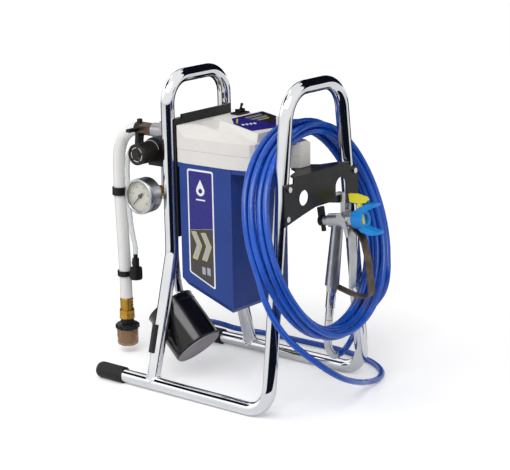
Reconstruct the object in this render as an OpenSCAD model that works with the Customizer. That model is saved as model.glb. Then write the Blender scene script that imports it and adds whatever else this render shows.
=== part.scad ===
/* [Frame] */
// outside diameter of the frame tube
tube_d = 25.4; // [23:0.2:27]
// distance between the skid centre lines
skid_span = 297; // [290:1:304]
// distance between the front leg centre lines at the top corners
top_span = 155.6; // [152:0.2:160]
// height of the frame above the floor
frame_height = 599.3; // [590:0.1:610]
// place of the front hoop along the machine
front_x = 155; // [153:0.5:157]
// distance between the front and rear hoops
hoop_gap = 276.3; // [274:0.1:279]
// centre line radius where a skid turns up into a front leg
skid_bend = 46; // [42:1:52]
// centre line radius of the front top corners
top_bend = 57; // [50:1:62]
// centre line radius of the rear top corners
rear_bend = 50; // [44:1:56]
// centre line radius of the rear knees
knee_bend = 60; // [50:1:70]
// distance between the rear leg centre lines
rear_span = 163.6; // [162:0.2:166]
// height at which the rear legs start to flare
knee_height = 257; // [245:1:270]
// length of a straight skid behind its bend
skid_length = 357; // [345:1:365]
// length of a weld bead at the foot of a rear leg
weld_length = 6; // [4:0.5:9]

/* [Foot caps] */
// whole length of a rubber foot cap
cap_length = 66; // [55:1:75]
// side wall of a foot cap
cap_wall = 3; // [2:0.2:4]
// rubber behind the end of the tube
cap_end = 11; // [8:0.5:13]

/* [Brackets] */
// thickness of the front bracket plate
plate_t = 3; // [2:0.25:4]
// half width of the front bracket across the legs
ear_half = 112; // [111:0.5:116]
// half width of the front bracket above its notches
head_half = 84; // [80:1:86]
// top of the front bracket
bracket_top = 435; // [434:0.5:436]
// bottom of the front bracket ears
ear_bottom = 350; // [345:1:355]
// diameter of the round hole in the front bracket
hanger_hole_d = 28; // [24:0.5:32]
// width of the slot that the gun hangs in
slot_w = 33; // [30:0.5:36]
// height of the slot that the gun hangs in
slot_h = 33; // [33:0.5:36]
// thickness of the rear bracket plate
rear_plate_t = 4; // [3:0.25:4.5]
// top of the rear bracket plate
rear_plate_top = 518; // [514:1:524]

/* [Housing] */
// how far the tub and its covers stand out past the centre lines of the rear legs
housing_overhang = 1.2; // [0.4:0.2:2]
// wall of the tub and its covers
housing_wall = 3; // [2.4:0.2:3.4]
// front face of the tub
tub_front = 27; // [24:0.5:30]
// lowest edge of the tub
tub_bottom = 156; // [150:1:162]
// height where the tub ends and the cover starts
cover_z = 431; // [430:0.5:432]
// height of the seam between the two covers
seam_z = 457; // [455:0.5:460]
// height where the side walls of the top cover end
eave_z = 480; // [477:0.5:483]
// height of the raised panel on the top cover at its rear edge
island_top = 512.5; // [510:0.5:515]
// height of the deck that the switch stands on
deck_z = 506; // [504:0.5:508]
// gap left between covers that sit on each other
seam_gap = 0.3; // [0.2:0.05:0.5]
// thickness of the printed labels
label_t = 0.4; // [0.3:0.1:0.8]

/* [Pump] */
// height of the pump axis
pump_z = 400; // [399:0.5:401]
// radius of the pump bore
bore_r = 16; // [15.5:0.1:16.5]
// radius of the piston
piston_r = 11.95; // [11.6:0.05:12.2]
// radius of the piston rod
rod_r = 7; // [6:0.1:7.6]
// distance the piston moves to each side of its middle
stroke_half = 8; // [7:0.5:8]
// far face of the manifold block from the rear bracket
block_reach = 67.7; // [66:0.1:69]
// radius of the pressure gauge
gauge_r = 34; // [31:0.5:36]
// radius of the pressure knob
knob_r = 20; // [18:0.5:22]
// length of the pressure knob
knob_length = 41.4; // [38:0.2:44]
// running clearance on a radius
fit = 0.06; // [0.04:0.01:0.08]

/* [Drive] */
// gear tooth module
tooth_module = 1.5; // [1.45:0.01:1.55]
// teeth on the motor pinion
pinion_teeth = 12; // [12:1:12]
// teeth on the idler gear
idler_teeth = 40; // [40:1:40]
// teeth on the crank gear
crank_teeth = 48; // [48:1:48]
// width of the gears
gear_w = 10; // [8:0.5:12]
// outside radius of the motor case
motor_r = 50; // [46:0.5:52]
// wall of the motor case
motor_wall = 4; // [3:0.25:5]
// radius of the motor shaft
shaft_r = 5; // [4:0.25:5.5]
// radius of the crank shaft
crank_shaft_r = 8; // [7:0.25:9]
// thickness of the gear plate
gear_plate_t = 4; // [3:0.25:5]

/* [Suction set] */
// outside diameter of the suction hose
suction_d = 24.6; // [23:0.2:26]
// wall of the suction hose
suction_wall = 3.2; // [2.6:0.2:4]
// outside diameter of the drain tube
drain_d = 10; // [9:0.2:10.8]
// outside diameter of the strainer bowl
bowl_d = 42.5; // [38:0.5:46]
// outside diameter of the drain diffuser
diffuser_d = 24; // [22:0.5:26]

/* [Drip cup] */
// outside radius of the drip cup
cup_r = 48; // [46:0.5:48.5]
// length of the drip cup
cup_length = 101; // [96:1:104]
// wall of the drip cup
cup_wall = 2; // [1.6:0.1:2.6]
// radius of the pin that the cup tilts on
cup_pin_r = 4; // [3:0.1:5]

/* [Fluid hose] */
// outside diameter of the fluid hose
hose_d = 11.4; // [10.6:0.1:11.5]
// radius of the largest loop of the coil
loop_r = 190; // [188:0.5:191]
// step between loops of one layer
loop_pitch = 13.4; // [13.2:0.1:13.6]
// step between layers of the coil
layer_pitch = 14.2; // [14:0.1:14.6]
// outside diameter of the spring guard
guard_d = 16; // [15:0.2:17]

/* [Gun] */
// place of the gun across the machine
gun_y = 58; // [57:0.5:59]
// radius of the gun barrel
barrel_r = 13; // [12:0.5:14]
// radius of the grip
grip_r = 12; // [11:0.5:12.5]
// width of the trigger guard strap
strap_w = 18; // [15:0.5:20]
// thickness of the trigger guard strap
strap_t = 3; // [2:0.25:4]
// radius of the trigger pin
pin_r = 2.5; // [2:0.1:3]

/* [Hidden] */
$fn = 48;
eps = 0.02;

// frame
tube_r = tube_d / 2;
rear_x = front_x - hoop_gap;
top_z = frame_height - tube_r;
bend_lap = 1;
weld_gap = 0.1;
bend_thinning = 0.05;
skid_half = skid_span / 2;
leg_lean = atan((skid_half - top_span / 2) / (top_z - tube_r));
cap_gap = 0.1;
cap_r = tube_r + cap_gap + cap_wall;
skid_start = front_x - skid_bend;
cap_start = skid_length + cap_end - cap_length;
skid_rise = atan((cap_r - tube_r) / cap_start);
rear_half = rear_span / 2;
foot_z = tube_r + (skid_start - rear_x) * tan(skid_rise);
flare = atan((skid_half - rear_half) / (knee_height - foot_z));
knee_run = knee_bend * tan(flare / 2);
function front_leg_y(z) = top_span / 2 + (top_z - z) * tan(leg_lean);
function rear_leg_y(z) = rear_half + (knee_height - z) * tan(flare);

// brackets
plate_x = front_x + tube_r + 0.3;
plate_front = plate_x + plate_t;
shelf_t = 3;
ear_top = 424;
slot_bottom = 378;
bolt_r = 3;
bolt_head_r = 5.5;
bolt_z = [364, ear_top - 8];
rear_plate_front = rear_x + tube_r + 0.3 + rear_plate_t;
rear_plate_back = rear_plate_front - rear_plate_t;
mount_bolt_z = [pump_z - 21, pump_z + 21];
mount_bolt_y = 36;

// housing
tub_rear = rear_plate_front + 0.3;
tub_slope = 0.354;
rim_h = 8;
hw = housing_wall;
hh = rear_half + housing_overhang;
function tub_floor(x) = tub_bottom + (tub_front - x) * tub_slope;
function mirrored(p) = concat(p, [for (i = [len(p) - 1:-1:0]) [p[i][0], -p[i][1]]]);
function inset_x(x, t) = x < -80 ? x + t : x > 60 ? x - t : x;
function inset(p, t) = [for (q = p) [inset_x(q[0], t), q[1] - sign(q[1]) * t]];
cover_plan = mirrored([[tub_rear, -hh + 7], [tub_rear + 2, -hh + 2.5], [tub_rear + 21, -hh], [-7, -hh],
    [20, -hh], [65, -hh + 8], [72, -hh + 16]]);
function tub_plan(t) = mirrored([[tub_rear + t, -hh + 13 + t / 2], [tub_rear + 8 + t / 2, -hh + t],
    [tub_front - t, -hh + t]]);
nose_front = 134;
nose_top = 482;
nose_half = 23;
nose_bottom = bracket_top + seam_gap;
island_x0 = -22;
island_x1 = 66;
island_y0 = -50;
island_y1 = 72;
panel_lean = 10;
rear_lift = 20;
switch_x = -58;
switch_y = 52;
roof_screw_x = -64;
roof_screw_y = -50;

// drive
shaft_x = -48;
pinion_r = tooth_module * pinion_teeth / 2;
idler_r = tooth_module * idler_teeth / 2;
crank_r = tooth_module * crank_teeth / 2;
idler_z = pump_z - crank_r - idler_r;
motor_z = idler_z - idler_r - pinion_r;
gear_y0 = 36;
case_half_z = 28;
case_y0 = -14;
case_y1 = 30;
case_wall = 4;
plate_y1 = case_y1 + gear_plate_t;
gear_y1 = plate_y1 + 2 + gear_w;
gear_start = plate_y1 + 2;
bearing_r = crank_shaft_r + 6;
crank_pin_r = 4;
window_half = stroke_half + crank_pin_r + 1;
yoke_half_x = 27;
yoke_half_z = 19;

// pump
block_x1 = rear_plate_back - 17.7;
block_x0 = rear_plate_back - block_reach;
block_y0 = -45;
block_y1 = 30;
block_z0 = 345;
block_z1 = 495;
neck_r = 30;
sleeve_wall = 3.9;
valve_y = -30;
valve_z = 473.5;
inlet_z = 466.5;
knob_x = -164;
knob_z = 445.5;
gauge_x = -164;
gauge_z = 365.3;
gauge_back = -92;
gauge_face = -124.7;
filter_x = -150;
filter_y = 8;
outlet_x = -165;
outlet_y = -25;
ball_r = 6.8;
ball_bore = 8;
seat_r = 5;
seat_z = 425;
ball_x = -164;

flange_x = rear_plate_back - 8;
case_flange_t = 6;
sleeve_x0 = rear_plate_back - 61.7;
sleeve_x1 = rear_plate_back - 21.7;
piston_x0 = sleeve_x0 + stroke_half + 4;
piston_x1 = piston_x0 + 10;
knob_back = block_y0 - 40;
strainer_x = -321;
clip_x = -326.9;
hook_w = 10;
hook_z = slot_bottom + 0.3;
trigger_x = 16;
trigger_z = 9;
tip_x = 54.3;

// cup
cup_tilt = 45;
cup_z = 101.5;
cup_inset = 74.670;
cup_at = [rear_x - 3.1, cup_inset - rear_leg_y(cup_z), cup_z];
cup_side = cup_at[1] - cup_r;

// cord routes, in millimetres
hose_r = hose_d / 2;
end_gap = 0.35;
coil_turns = 6.6;
layers = 4;
wraps = (coil_turns - 0.5 * (layers - 1)) / layers;
coil_start = -25;
function coil_point(s) = let (seg = wraps + 0.5, k = min(floor(s / seg), layers - 1), u = s - k * seg,
    climb = k < layers - 1 ? max(0, u - wraps) / 0.5 : 0, v = min(u, wraps),
    r = k % 2 == 0 ? loop_r - loop_pitch * v : loop_r - loop_pitch * (wraps - v), a = coil_start + 360 * s,
    c = sin(a)) [156 - 66 * c + 14 * pow(c, 3) + 3 * c * c - layer_pitch * (k - 1.5 + climb),
    7 + (r - 15) * cos(a) + 15 * c, 322 + r * c];
coil_rings = 24;
coil_steps = ceil(coil_turns * coil_rings);
coil_path = [for (i = [0:coil_steps]) coil_point(coil_turns * i / coil_steps)];
coil_in = unit(coil_point(0.01) - coil_point(0));
coil_out = unit(coil_point(coil_turns) - coil_point(coil_turns - 0.01));
pump_route = concat([coil_point(coil_turns) + end_gap * coil_out, coil_point(coil_turns) + hose_d * coil_out],
    [[159, -168, 254], [166, -168, 234], [177, -163, 206], [190, -154, 178], [203, -142, 155],
    [215, -125, 134], [229, -101, 110], [239, -72, 86], [243, -36, 64], [233, 18, 41], [214, 74, 21],
    [202, 125, 9], [187, 165, 6.5], [165, 190, 6.5], [132, 212, 6.5], [90, 227, 6.5], [45, 237, 6.5],
    [-3, 241, 6.5], [-64, 241, 6.5], [-120, 241, 6.5], [-160, 239, 6.5], [-192, 230, 8], [-214, 212, 14],
    [-225, 188, 26], [-227, 160, 38], [-222, 128, 50], [-213, 94, 64], [-202, 60, 84], [-190, 28, 112],
    [-178, 0, 150], [-169, -18, 195], [-165, -25, 240], [-165, -25, 285], [outlet_x, outlet_y, 312 - end_gap]]);
gun_route = concat([[140.9, 58, 134.7], [138.6, 58, 115.2], [136.3, 59.9, 95.9], [133.6, 66.3, 77.6],
    [130.8, 77.8, 62.1], [127.9, 94, 51.7], [125.5, 113.1, 48.4], [124.2, 132, 52.8], [124.7, 148.1, 63.7],
    [128, 159.8, 79.1], [134.4, 166.7, 96.2], [144.1, 169.4, 112.9], [156.3, 168.6, 128.2],
    [169.6, 165.4, 142.3], [182.8, 160.8, 156], [195.2, 155.3, 170.6], [205, 150.6, 187], [210.2, 149, 205.6],
    [210.3, 151.3, 224.3]], [coil_point(0) - end_gap * coil_in]);
suction_route = [[-226 - end_gap, 0, inlet_z], [-242, 0, inlet_z], [-264, 0, inlet_z], [-290, 0, 460],
    [-311, 0, 444], [-323, 0, 420], [-327, 0, 390], [-327, 0, 340], [-325, 0, 280], [-323, 0, 220],
    [-321.3, 0, 160], [-321, 0, 132], [-321, 0, 114 + end_gap]];
drain_route = [[-188 - end_gap, -15, 440], [-203, -15, 440], [-236, -14, 440], [-268, -12, 432],
    [-290, -8, 415], [-302, -3, 390], [-306, 0, 360], [-306, 0, 330], [-304, 0, 295], [-299, 0, 255],
    [-292.4, 0, 225], [-292, 0, 209 + end_gap]];

function unit(v) = v / norm(v);
function bent(a, b, c, d, t) = 0.5 * (2 * b + (c - a) * t + (2 * a - 5 * b + 4 * c - d) * t * t
    + (3 * b - a - 3 * c + d) * pow(t, 3));
function smooth(p, n) = concat([for (i = [0:len(p) - 2]) for (k = [0:n - 1])
    bent(p[max(i - 1, 0)], p[i], p[i + 1], p[min(i + 2, len(p) - 1)], k / n)], [p[len(p) - 1]]);
function headings(p) = [for (i = [0:len(p) - 1]) unit(p[min(i + 1, len(p) - 1)] - p[max(i - 1, 0)])];
function carried(t) = [for (i = 0, n = unit(cross(t[0], abs(t[0][2]) < 0.9 ? [0, 0, 1] : [1, 0,
    0])); i < len(t);
    i = i + 1, n = i < len(t) ? unit(n - (n * t[i]) * t[i]) : n) n];

// a round tube swept through the points of a path
module cord(p, r, sides) {
    t = headings(p);
    n = carried(t);
    m = sides;
    q = len(p) - 1;
    points = [for (i = [0:q]) let (b = cross(t[i], n[i])) for (k = [0:m - 1])
        p[i] + r * (cos(360 * k / m) * n[i] + sin(360 * k / m) * b)];
    lower = [for (i = [0:q - 1]) for (k = [0:m - 1]) [i * m + k, (i + 1) * m + k, i * m + (k + 1) % m]];
    upper = [for (i = [0:q - 1]) for (k = [0:m - 1])
        [i * m + (k + 1) % m, (i + 1) * m + k, (i + 1) * m + (k + 1) % m]];
    first = [for (k = [1:m - 2]) [0, k, k + 1]];
    last = [for (k = [1:m - 2]) [q * m, q * m + k + 1, q * m + k]];
    polyhedron(points=points, faces=concat(lower, upper, first, last));
}

// least distance between parts of a path more than a third of a turn apart
function least_gap(p, skip, r) = min([for (i = [0:len(p) - 1 - skip]) for (j = [i + skip:len(p) - 1])
    norm(p[i] - p[j])]) - 2 * r;

// a faceted body through rings that are symmetric from side to side
module loft(rings) {
    n = len(rings[0]);
    h = n / 2;
    q = len(rings) - 1;
    points = [for (ring = rings) for (p = ring) p];
    sides = [for (i = [0:q - 1]) for (k = [0:n - 1]) each [
        [i * n + k, (i + 1) * n + k, i * n + (k + 1) % n],
        [i * n + (k + 1) % n, (i + 1) * n + k, (i + 1) * n + (k + 1) % n]]];
    bottom = [for (k = [0:h - 2]) [k, k + 1, n - 2 - k, n - 1 - k]];
    top = [for (k = [0:h - 2]) [q * n + n - 1 - k, q * n + n - 2 - k, q * n + k + 1, q * n + k]];
    polyhedron(points=points, faces=concat(sides, bottom, top));
}

function at_z(plan, z) = [for (p = plan) [p[0], p[1], z]];

module box(x0, x1, y0, y1, z0, z1) {
    translate([x0, y0, z0])
        cube([x1 - x0, y1 - y0, z1 - z0]);
}

module xcyl(x0, x1, y, z, r) {
    translate([x0, y, z])
        rotate([0, 90, 0])
            cylinder(h=x1 - x0, r=r);
}

module ycyl(x, y0, y1, z, r) {
    translate([x, y0, z])
        rotate([-90, 0, 0])
            cylinder(h=y1 - y0, r=r);
}

module zcyl(x, y, z0, z1, r) {
    translate([x, y, z0])
        cylinder(h=z1 - z0, r=r);
}

module xhex(x0, x1, y, z, r) {
    translate([x0, y, z])
        rotate([0, 90, 0])
            cylinder(h=x1 - x0, r=r, $fn=6);
}

module zhex(x, y, z0, z1, r) {
    translate([x, y, z0])
        cylinder(h=z1 - z0, r=r, $fn=6);
}

// a bend of a tube round the corner p, that comes in along a and leaves along b
module elbow(p, a, b, radius) {
    turn = acos(a * b);
    n = unit(b - (a * b) * a);
    c = p - a * radius * tan(turn / 2) + n * radius;
    w = cross(-n, a);
    multmatrix([[-n[0], a[0], w[0], c[0]], [-n[1], a[1], w[1], c[1]], [-n[2], a[2], w[2], c[2]], [0, 0, 0, 1]])
        rotate([0, 0, -bend_lap])
            rotate_extrude(angle=turn + 2 * bend_lap)
                translate([radius, 0])
                    circle(r=tube_r - bend_thinning);
}

// a straight bar from p to q
module bar(p, q, r) {
    z = unit(q - p);
    x = unit(cross(abs(z[0]) < 0.9 ? [1, 0, 0] : [0, 0, 1], z));
    y = cross(z, x);
    multmatrix([[x[0], y[0], z[0], p[0]], [x[1], y[1], z[1], p[1]], [x[2], y[2], z[2], p[2]], [0, 0, 0, 1]])
        cylinder(h=norm(q - p), r=r);
}

// the line of one skid, with local Z running to the rear
module skid_line(side) {
    translate([skid_start, side * skid_half, tube_r])
        rotate([0, skid_rise - 90, 0])
            children();
}

module front_side(side) {
    foot = [front_x, side * skid_half, tube_r - skid_bend * tan(skid_rise)];
    top = [front_x, side * top_span / 2, top_z];
    leg = unit(foot - top);
    skid = [-cos(skid_rise), 0, sin(skid_rise)];
    rail = [0, side, 0];
    foot_run = skid_bend * tan(acos(leg * skid) / 2);
    top_run = top_bend * tan(acos(rail * leg) / 2);
    if (side > 0)
        bar([front_x, -top[1] + top_run, top_z], top - rail * top_run, tube_r);
    elbow(top, rail, leg, top_bend);
    bar(top + leg * top_run, foot - leg * foot_run, tube_r);
    elbow(foot, leg, skid, skid_bend);
    bar(foot + skid * foot_run, [skid_start, side * skid_half, tube_r] + skid * skid_length, tube_r);
}

// skids, front legs and front top rail, one bent tube
module front_frame_tube() {
    color([0.8, 0.81, 0.83]) difference() {
        union() {
            front_side(-1);
            front_side(1);
        }
        for (side = [-1, 1], z = bolt_z)
            xcyl(front_x, front_x + tube_r + 1, side * front_leg_y(z), z, bolt_r + fit);
    }
}

module rear_side(side) {
    top = [rear_x, side * rear_half, top_z];
    knee = [rear_x, side * rear_half, knee_height];
    foot = [rear_x, side * skid_half, foot_z];
    rail = [0, side, 0];
    down = [0, 0, -1];
    leg = unit(foot - knee);
    if (side > 0)
        bar([rear_x, -top[1] + rear_bend, top_z], top - rail * rear_bend, tube_r);
    elbow(top, rail, down, rear_bend);
    bar(top + down * rear_bend, knee - down * knee_run, tube_r);
    elbow(knee, down, leg, knee_bend);
    bar(knee + leg * knee_run, foot, tube_r);
    bar(foot - leg * (tube_r + weld_length + 1), foot - leg * (tube_r + 1), tube_r + 1.3);
}

// rear legs with flared feet and rear top rail
module rear_hoop() {
    color([0.8, 0.81, 0.83]) difference() {
        union() {
            rear_side(-1);
            rear_side(1);
        }
        for (side = [-1, 1])
            skid_line(side)
                cylinder(h=skid_length, r=tube_r + weld_gap);
    }
}

// rubber caps on the rear ends of the skids
module foot_caps() {
    color([0.08, 0.08, 0.09]) for (side = [-1, 1])
        skid_line(side) difference() {
            union() {
                translate([0, 0, cap_start])
                    cylinder(h=cap_length - 6, r=cap_r);
                translate([0, 0, cap_start + cap_length - 6])
                    cylinder(h=3, r1=cap_r, r2=cap_r - 1.8);
                translate([0, 0, cap_start + cap_length - 3])
                    cylinder(h=3, r1=cap_r - 1.8, r2=cap_r - 6);
            }
            translate([0, 0, cap_start - 1])
                cylinder(h=skid_length - cap_start + 1, r=tube_r + cap_gap / 2);
        }
}

// black plate across the front legs with a shelf for the nose and openings for a hook and the gun
module front_bracket() {
    outline = [[-ear_half, ear_bottom], [-ear_half, ear_top], [-head_half, ear_top], [-head_half,
        bracket_top],
        [head_half, bracket_top], [head_half, ear_top], [ear_half, ear_top], [ear_half, ear_bottom],
        [60, 362], [20, 370], [-20, 370], [-60, 362]];
    color([0.1, 0.1, 0.11]) difference() {
        union() {
            translate([plate_x, 0, 0])
                rotate([90, 0, 90])
                    linear_extrude(plate_t)
                        polygon(outline);
            translate([0, 0, bracket_top - shelf_t])
                linear_extrude(shelf_t)
                    polygon([[plate_x + 1, -82], [plate_x + 1, 82], [154, 72], [140, 36], [117, 21],
                        [117, -21],
                        [140, -36], [154, -72]]);
        }
        xcyl(plate_x - 1, plate_front + 1, -54, 393, hanger_hole_d / 2);
        xcyl(plate_x - 1, plate_front + 1, gun_y, slot_bottom + slot_h - slot_w / 2, slot_w / 2);
        box(plate_x - 1, plate_front + 1, gun_y - slot_w / 2, gun_y + slot_w / 2, slot_bottom,
            slot_bottom + slot_h - slot_w / 2);
        for (side = [-1, 1], z = bolt_z)
            xcyl(plate_x - 1, plate_front + 1, side * front_leg_y(z), z, bolt_r + fit);
    }
}

// black plate between the rear legs that carries the pump and the drive
module rear_bracket() {
    outline = [[-rear_half, 288], [rear_half, 288], [rear_half, rear_plate_top], [-62, rear_plate_top],
        [-62, rear_plate_top - 8], [-rear_half, rear_plate_top - 8]];
    color([0.1, 0.1, 0.11]) difference() {
        translate([rear_plate_back, 0, 0])
            rotate([90, 0, 90])
                linear_extrude(rear_plate_t)
                    polygon(outline);
        xcyl(rear_plate_back - 1, rear_plate_front + 1, 0, pump_z, rod_r + 1.5);
        for (side = [-1, 1], z = mount_bolt_z)
            xcyl(rear_plate_back - 1, rear_plate_front + 1, side * mount_bolt_y, z, bolt_r + fit);
    }
}

// bolts of the two brackets and the screw of the top cover
module fasteners() {
    color([0.75, 0.76, 0.78]) {
        for (side = [-1, 1], z = bolt_z) {
            xcyl(front_x + 2, plate_front + eps, side * front_leg_y(z), z, bolt_r);
            xhex(plate_front, plate_front + 4, side * front_leg_y(z), z, bolt_head_r);
        }
        for (side = [-1, 1], z = mount_bolt_z) {
            xcyl(flange_x - eps, rear_plate_front + case_flange_t, side * mount_bolt_y, z, bolt_r);
            xhex(flange_x - 4, flange_x, side * mount_bolt_y, z, bolt_head_r);
        }
        zcyl(roof_screw_x, roof_screw_y, eave_z + 10, eave_z + 20.5, 2);
        zcyl(roof_screw_x, roof_screw_y, eave_z + 18.4, eave_z + 20.5, 4);
    }
}

// blue tub around the motor, open at the top and at the gear case
module motor_shroud() {
    plan = tub_plan(0);
    core = tub_plan(hw);
    bevel = 8;
    low = [for (p = plan) let (q = [p[0] + (p[0] < 0 ? bevel : -bevel), p[1] - sign(p[1]) * bevel])
        [q[0], q[1], tub_floor(q[0])]];
    mid = [for (p = plan) [p[0], p[1], tub_floor(p[0]) + 12]];
    core_low = [for (p = core) let (q = [p[0] + (p[0] < 0 ? bevel : -bevel), p[1] - sign(p[1]) * bevel])
        [q[0], q[1], tub_floor(q[0]) + hw]];
    core_mid = [for (p = core) [p[0], p[1], tub_floor(p[0]) + 12 + hw]];
    color([0.12, 0.22, 0.5]) difference() {
        union() {
            loft([low, mid, at_z(plan, cover_z)]);
            translate([0, 0, cover_z - rim_h])
                linear_extrude(rim_h)
                    polygon(cover_plan);
        }
        loft([core_low, core_mid, at_z(core, cover_z + 1)]);
        translate([0, 0, cover_z - rim_h + hw])
            linear_extrude(rim_h)
                polygon(inset(cover_plan, hw));
        box(tub_rear - 1, tub_rear + hw + 1, -46.3, 46.3, pump_z - case_half_z - 0.3,
            pump_z + case_half_z + 0.3);
    }
}

function nose_plan(t) = mirrored([[60, -nose_half + t], [nose_front - 13 - t / 2, -nose_half + t],
    [nose_front - t, -nose_half + 8 + t / 2]]);

// light lower band of the housing with the lower half of the nose
module lower_cover() {
    z0 = cover_z + seam_gap;
    color([0.86, 0.85, 0.83]) difference() {
        union() {
            translate([0, 0, z0])
                linear_extrude(seam_z - z0)
                    polygon(cover_plan);
            translate([0, 0, nose_bottom])
                linear_extrude(seam_z - nose_bottom)
                    polygon(nose_plan(0));
        }
        translate([0, 0, z0 - 1])
            linear_extrude(seam_z - z0 + 2)
                polygon(inset(cover_plan, hw));
        translate([0, 0, nose_bottom + hw])
            linear_extrude(seam_z)
                polygon(nose_plan(hw));
    }
}

function wall_top(p, t) = [for (q = p) [q[0], q[1], eave_z + (q[0] < tub_rear + 10 ? rear_lift - t : 0)]];
function roof_edge(t, h) = let (y = -hh + 23 + t) [[tub_rear + 14 + t, y + 7, h + 21],
    [tub_rear + 20 + t, y + 2, h + 21.5], [tub_rear + 26 + t, y, h + 22], [-50, y, h + 21], [20, y, h + 10],
    [65 - t, y, h + 3], [69 - t, y + 3, h + 2]];
function roof_ring(t, h) = let (p = roof_edge(t, h)) concat(p,
    [for (i = [len(p) - 1:-1:0]) [p[i][0], -p[i][1], p[i][2]]]);

module cover_body(t) {
    z0 = seam_z + seam_gap;
    low = inset(cover_plan, t);
    loft([at_z(low, z0 - (t > 0 ? 1 : 0)), wall_top(low, t), roof_ring(t, eave_z - t)]);
    nose = nose_plan(t);
    crown = [for (p = nose) [p[0] - (p[0] > 70 ? 3 : 0), p[1] - sign(p[1]) * 4, nose_top - t]];
    loft([at_z(nose, z0 - (t > 0 ? 1 : 0)), at_z(nose, nose_top - 4 - t), crown]);
}

function square_ring(x0, x1, y0, y1) = [[x0, y0], [x1, y0], [x1, y1], [x0, y1]];

// raised panel that runs down towards the front, or the space under it
module island(t) {
    foot = square_ring(island_x0 - 4 + t, island_x1 + 3 - t, island_y0 - 9 + t, island_y1 + 4 - t);
    crown = square_ring(island_x0 + t, island_x1 - t, island_y0 + t, island_y1 - t);
    loft([at_z(foot, eave_z - (t > 0 ? 4 : 0)),
        [for (p = crown) [p[0], p[1], island_top - t - (p[0] - island_x0) * tan(panel_lean)]]]);
}

// light top cover with its sloped roof, raised panel, switch deck and nose
module top_cover() {
    color([0.88, 0.87, 0.85]) difference() {
        union() {
            cover_body(0);
            island(0);
            translate([0, island_y1 + 2, 0])
                rotate([90, 0, 0])
                    linear_extrude(72)
                        polygon([[-92, eave_z + 4], [-92, eave_z + 14], [-86, eave_z + 21], [-76, deck_z],
                            [island_x0 + 2, deck_z], [island_x0 + 2, eave_z + 4]]);
        }
        cover_body(hw);
        island(hw);
        zcyl(roof_screw_x, roof_screw_y, eave_z + 8, eave_z + 24, 2.1);
        zcyl(roof_screw_x, roof_screw_y, eave_z + 18.3, eave_z + 24, 4.3);
    }
}

// printed panel on the near side of the tub
module side_label() {
    color([0.17, 0.16, 0.5])
        translate([0, -hh, 0])
            rotate([90, 0, 0])
                linear_extrude(label_t)
                    polygon([[-74, 423], [-18, 423], [-15, 420], [-15, 202], [-18, 200.5], [-74, 224],
                        [-77, 227],
                        [-77, 420]]);
}

// printed film on the raised panel
module top_label() {
    color([0.14, 0.12, 0.4])
        translate([island_x0, 0, island_top])
            rotate([0, panel_lean, 0])
                linear_extrude(label_t)
                    polygon([[4, -22], [28, -45], [73, -47.5], [82.5, 12], [36, 70], [4, 70]]);
}

// switch with its guard on the deck
module switch_body() {
    color([0.1, 0.1, 0.1]) difference() {
        union() {
            box(switch_x - 10, switch_x + 10, switch_y - 16, switch_y + 16, deck_z, deck_z + 4);
            box(switch_x - 5, switch_x + 5, switch_y - 9, switch_y + 9, deck_z + 3, deck_z + 10);
        }
        box(switch_x - 6, switch_x + 6, switch_y - 5, switch_y + 5, deck_z + 1.5, deck_z + 11);
        ycyl(switch_x, switch_y - 10, switch_y + 10, deck_z + 6.5, 1.5 + fit);
    }
}

// lever of the switch
module switch_lever() {
    color([0.06, 0.06, 0.06])
        translate([switch_x, switch_y, deck_z + 6.5])
            rotate([0, 20, 0]) {
                ycyl(0, -8.5, 8.5, 0, 1.5);
                ycyl(0, -4.6, 4.6, 0, 3.5);
                translate([0, 0, 1])
                    cylinder(h=12, r=2.2);
                translate([0, 0, 13])
                    sphere(r=3);
            }
}

// cast case of the crank with its flange against the rear bracket
module gear_case() {
    color([0.66, 0.67, 0.68]) difference() {
        union() {
            box(rear_plate_front, 4, case_y0, case_y1, pump_z - case_half_z, pump_z + case_half_z);
            box(rear_plate_front, rear_plate_front + case_flange_t, -46, 46, pump_z - case_half_z,
                pump_z + case_half_z);
        }
        box(rear_plate_front + case_wall, 4 - case_wall, case_y0 + case_wall, case_y1 - case_wall,
            pump_z - case_half_z + case_wall, pump_z + case_half_z - case_wall);
        xcyl(rear_plate_front - 1, rear_plate_front + case_wall + 1, 0, pump_z, rod_r + fit);
        ycyl(shaft_x, case_y1 - case_wall - 1, case_y1 + 1, pump_z, bearing_r);
        for (side = [-1, 1], z = mount_bolt_z)
            xcyl(rear_plate_front - 1, rear_plate_front + case_flange_t + 1, side * mount_bolt_y, z,
                bolt_r + fit);
    }
}

// plate that joins the motor to the gear case, with the idler pin
module gear_plate() {
    color([0.6, 0.61, 0.62]) {
        difference() {
            box(-94, 15, case_y1, plate_y1, motor_z - 55, pump_z + 24);
            ycyl(shaft_x, case_y1 - 1, plate_y1 + 1, pump_z, bearing_r);
            ycyl(shaft_x, case_y1 - 1, plate_y1 + 1, motor_z, shaft_r + 4);
        }
        ycyl(shaft_x, plate_y1 - eps, gear_y1 + 1, idler_z, shaft_r);
    }
}

// motor case with the stator inside
module motor_case() {
    color([0.3, 0.3, 0.32]) difference() {
        ycyl(shaft_x, -66, case_y1, motor_z, motor_r);
        ycyl(shaft_x, -62, -45, motor_z, motor_r - motor_wall);
        ycyl(shaft_x, -46, 16, motor_z, 32);
        ycyl(shaft_x, 15, case_y1 - 4, motor_z, motor_r - motor_wall);
        ycyl(shaft_x, -67, case_y1 + 1, motor_z, shaft_r + 4);
    }
}

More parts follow.
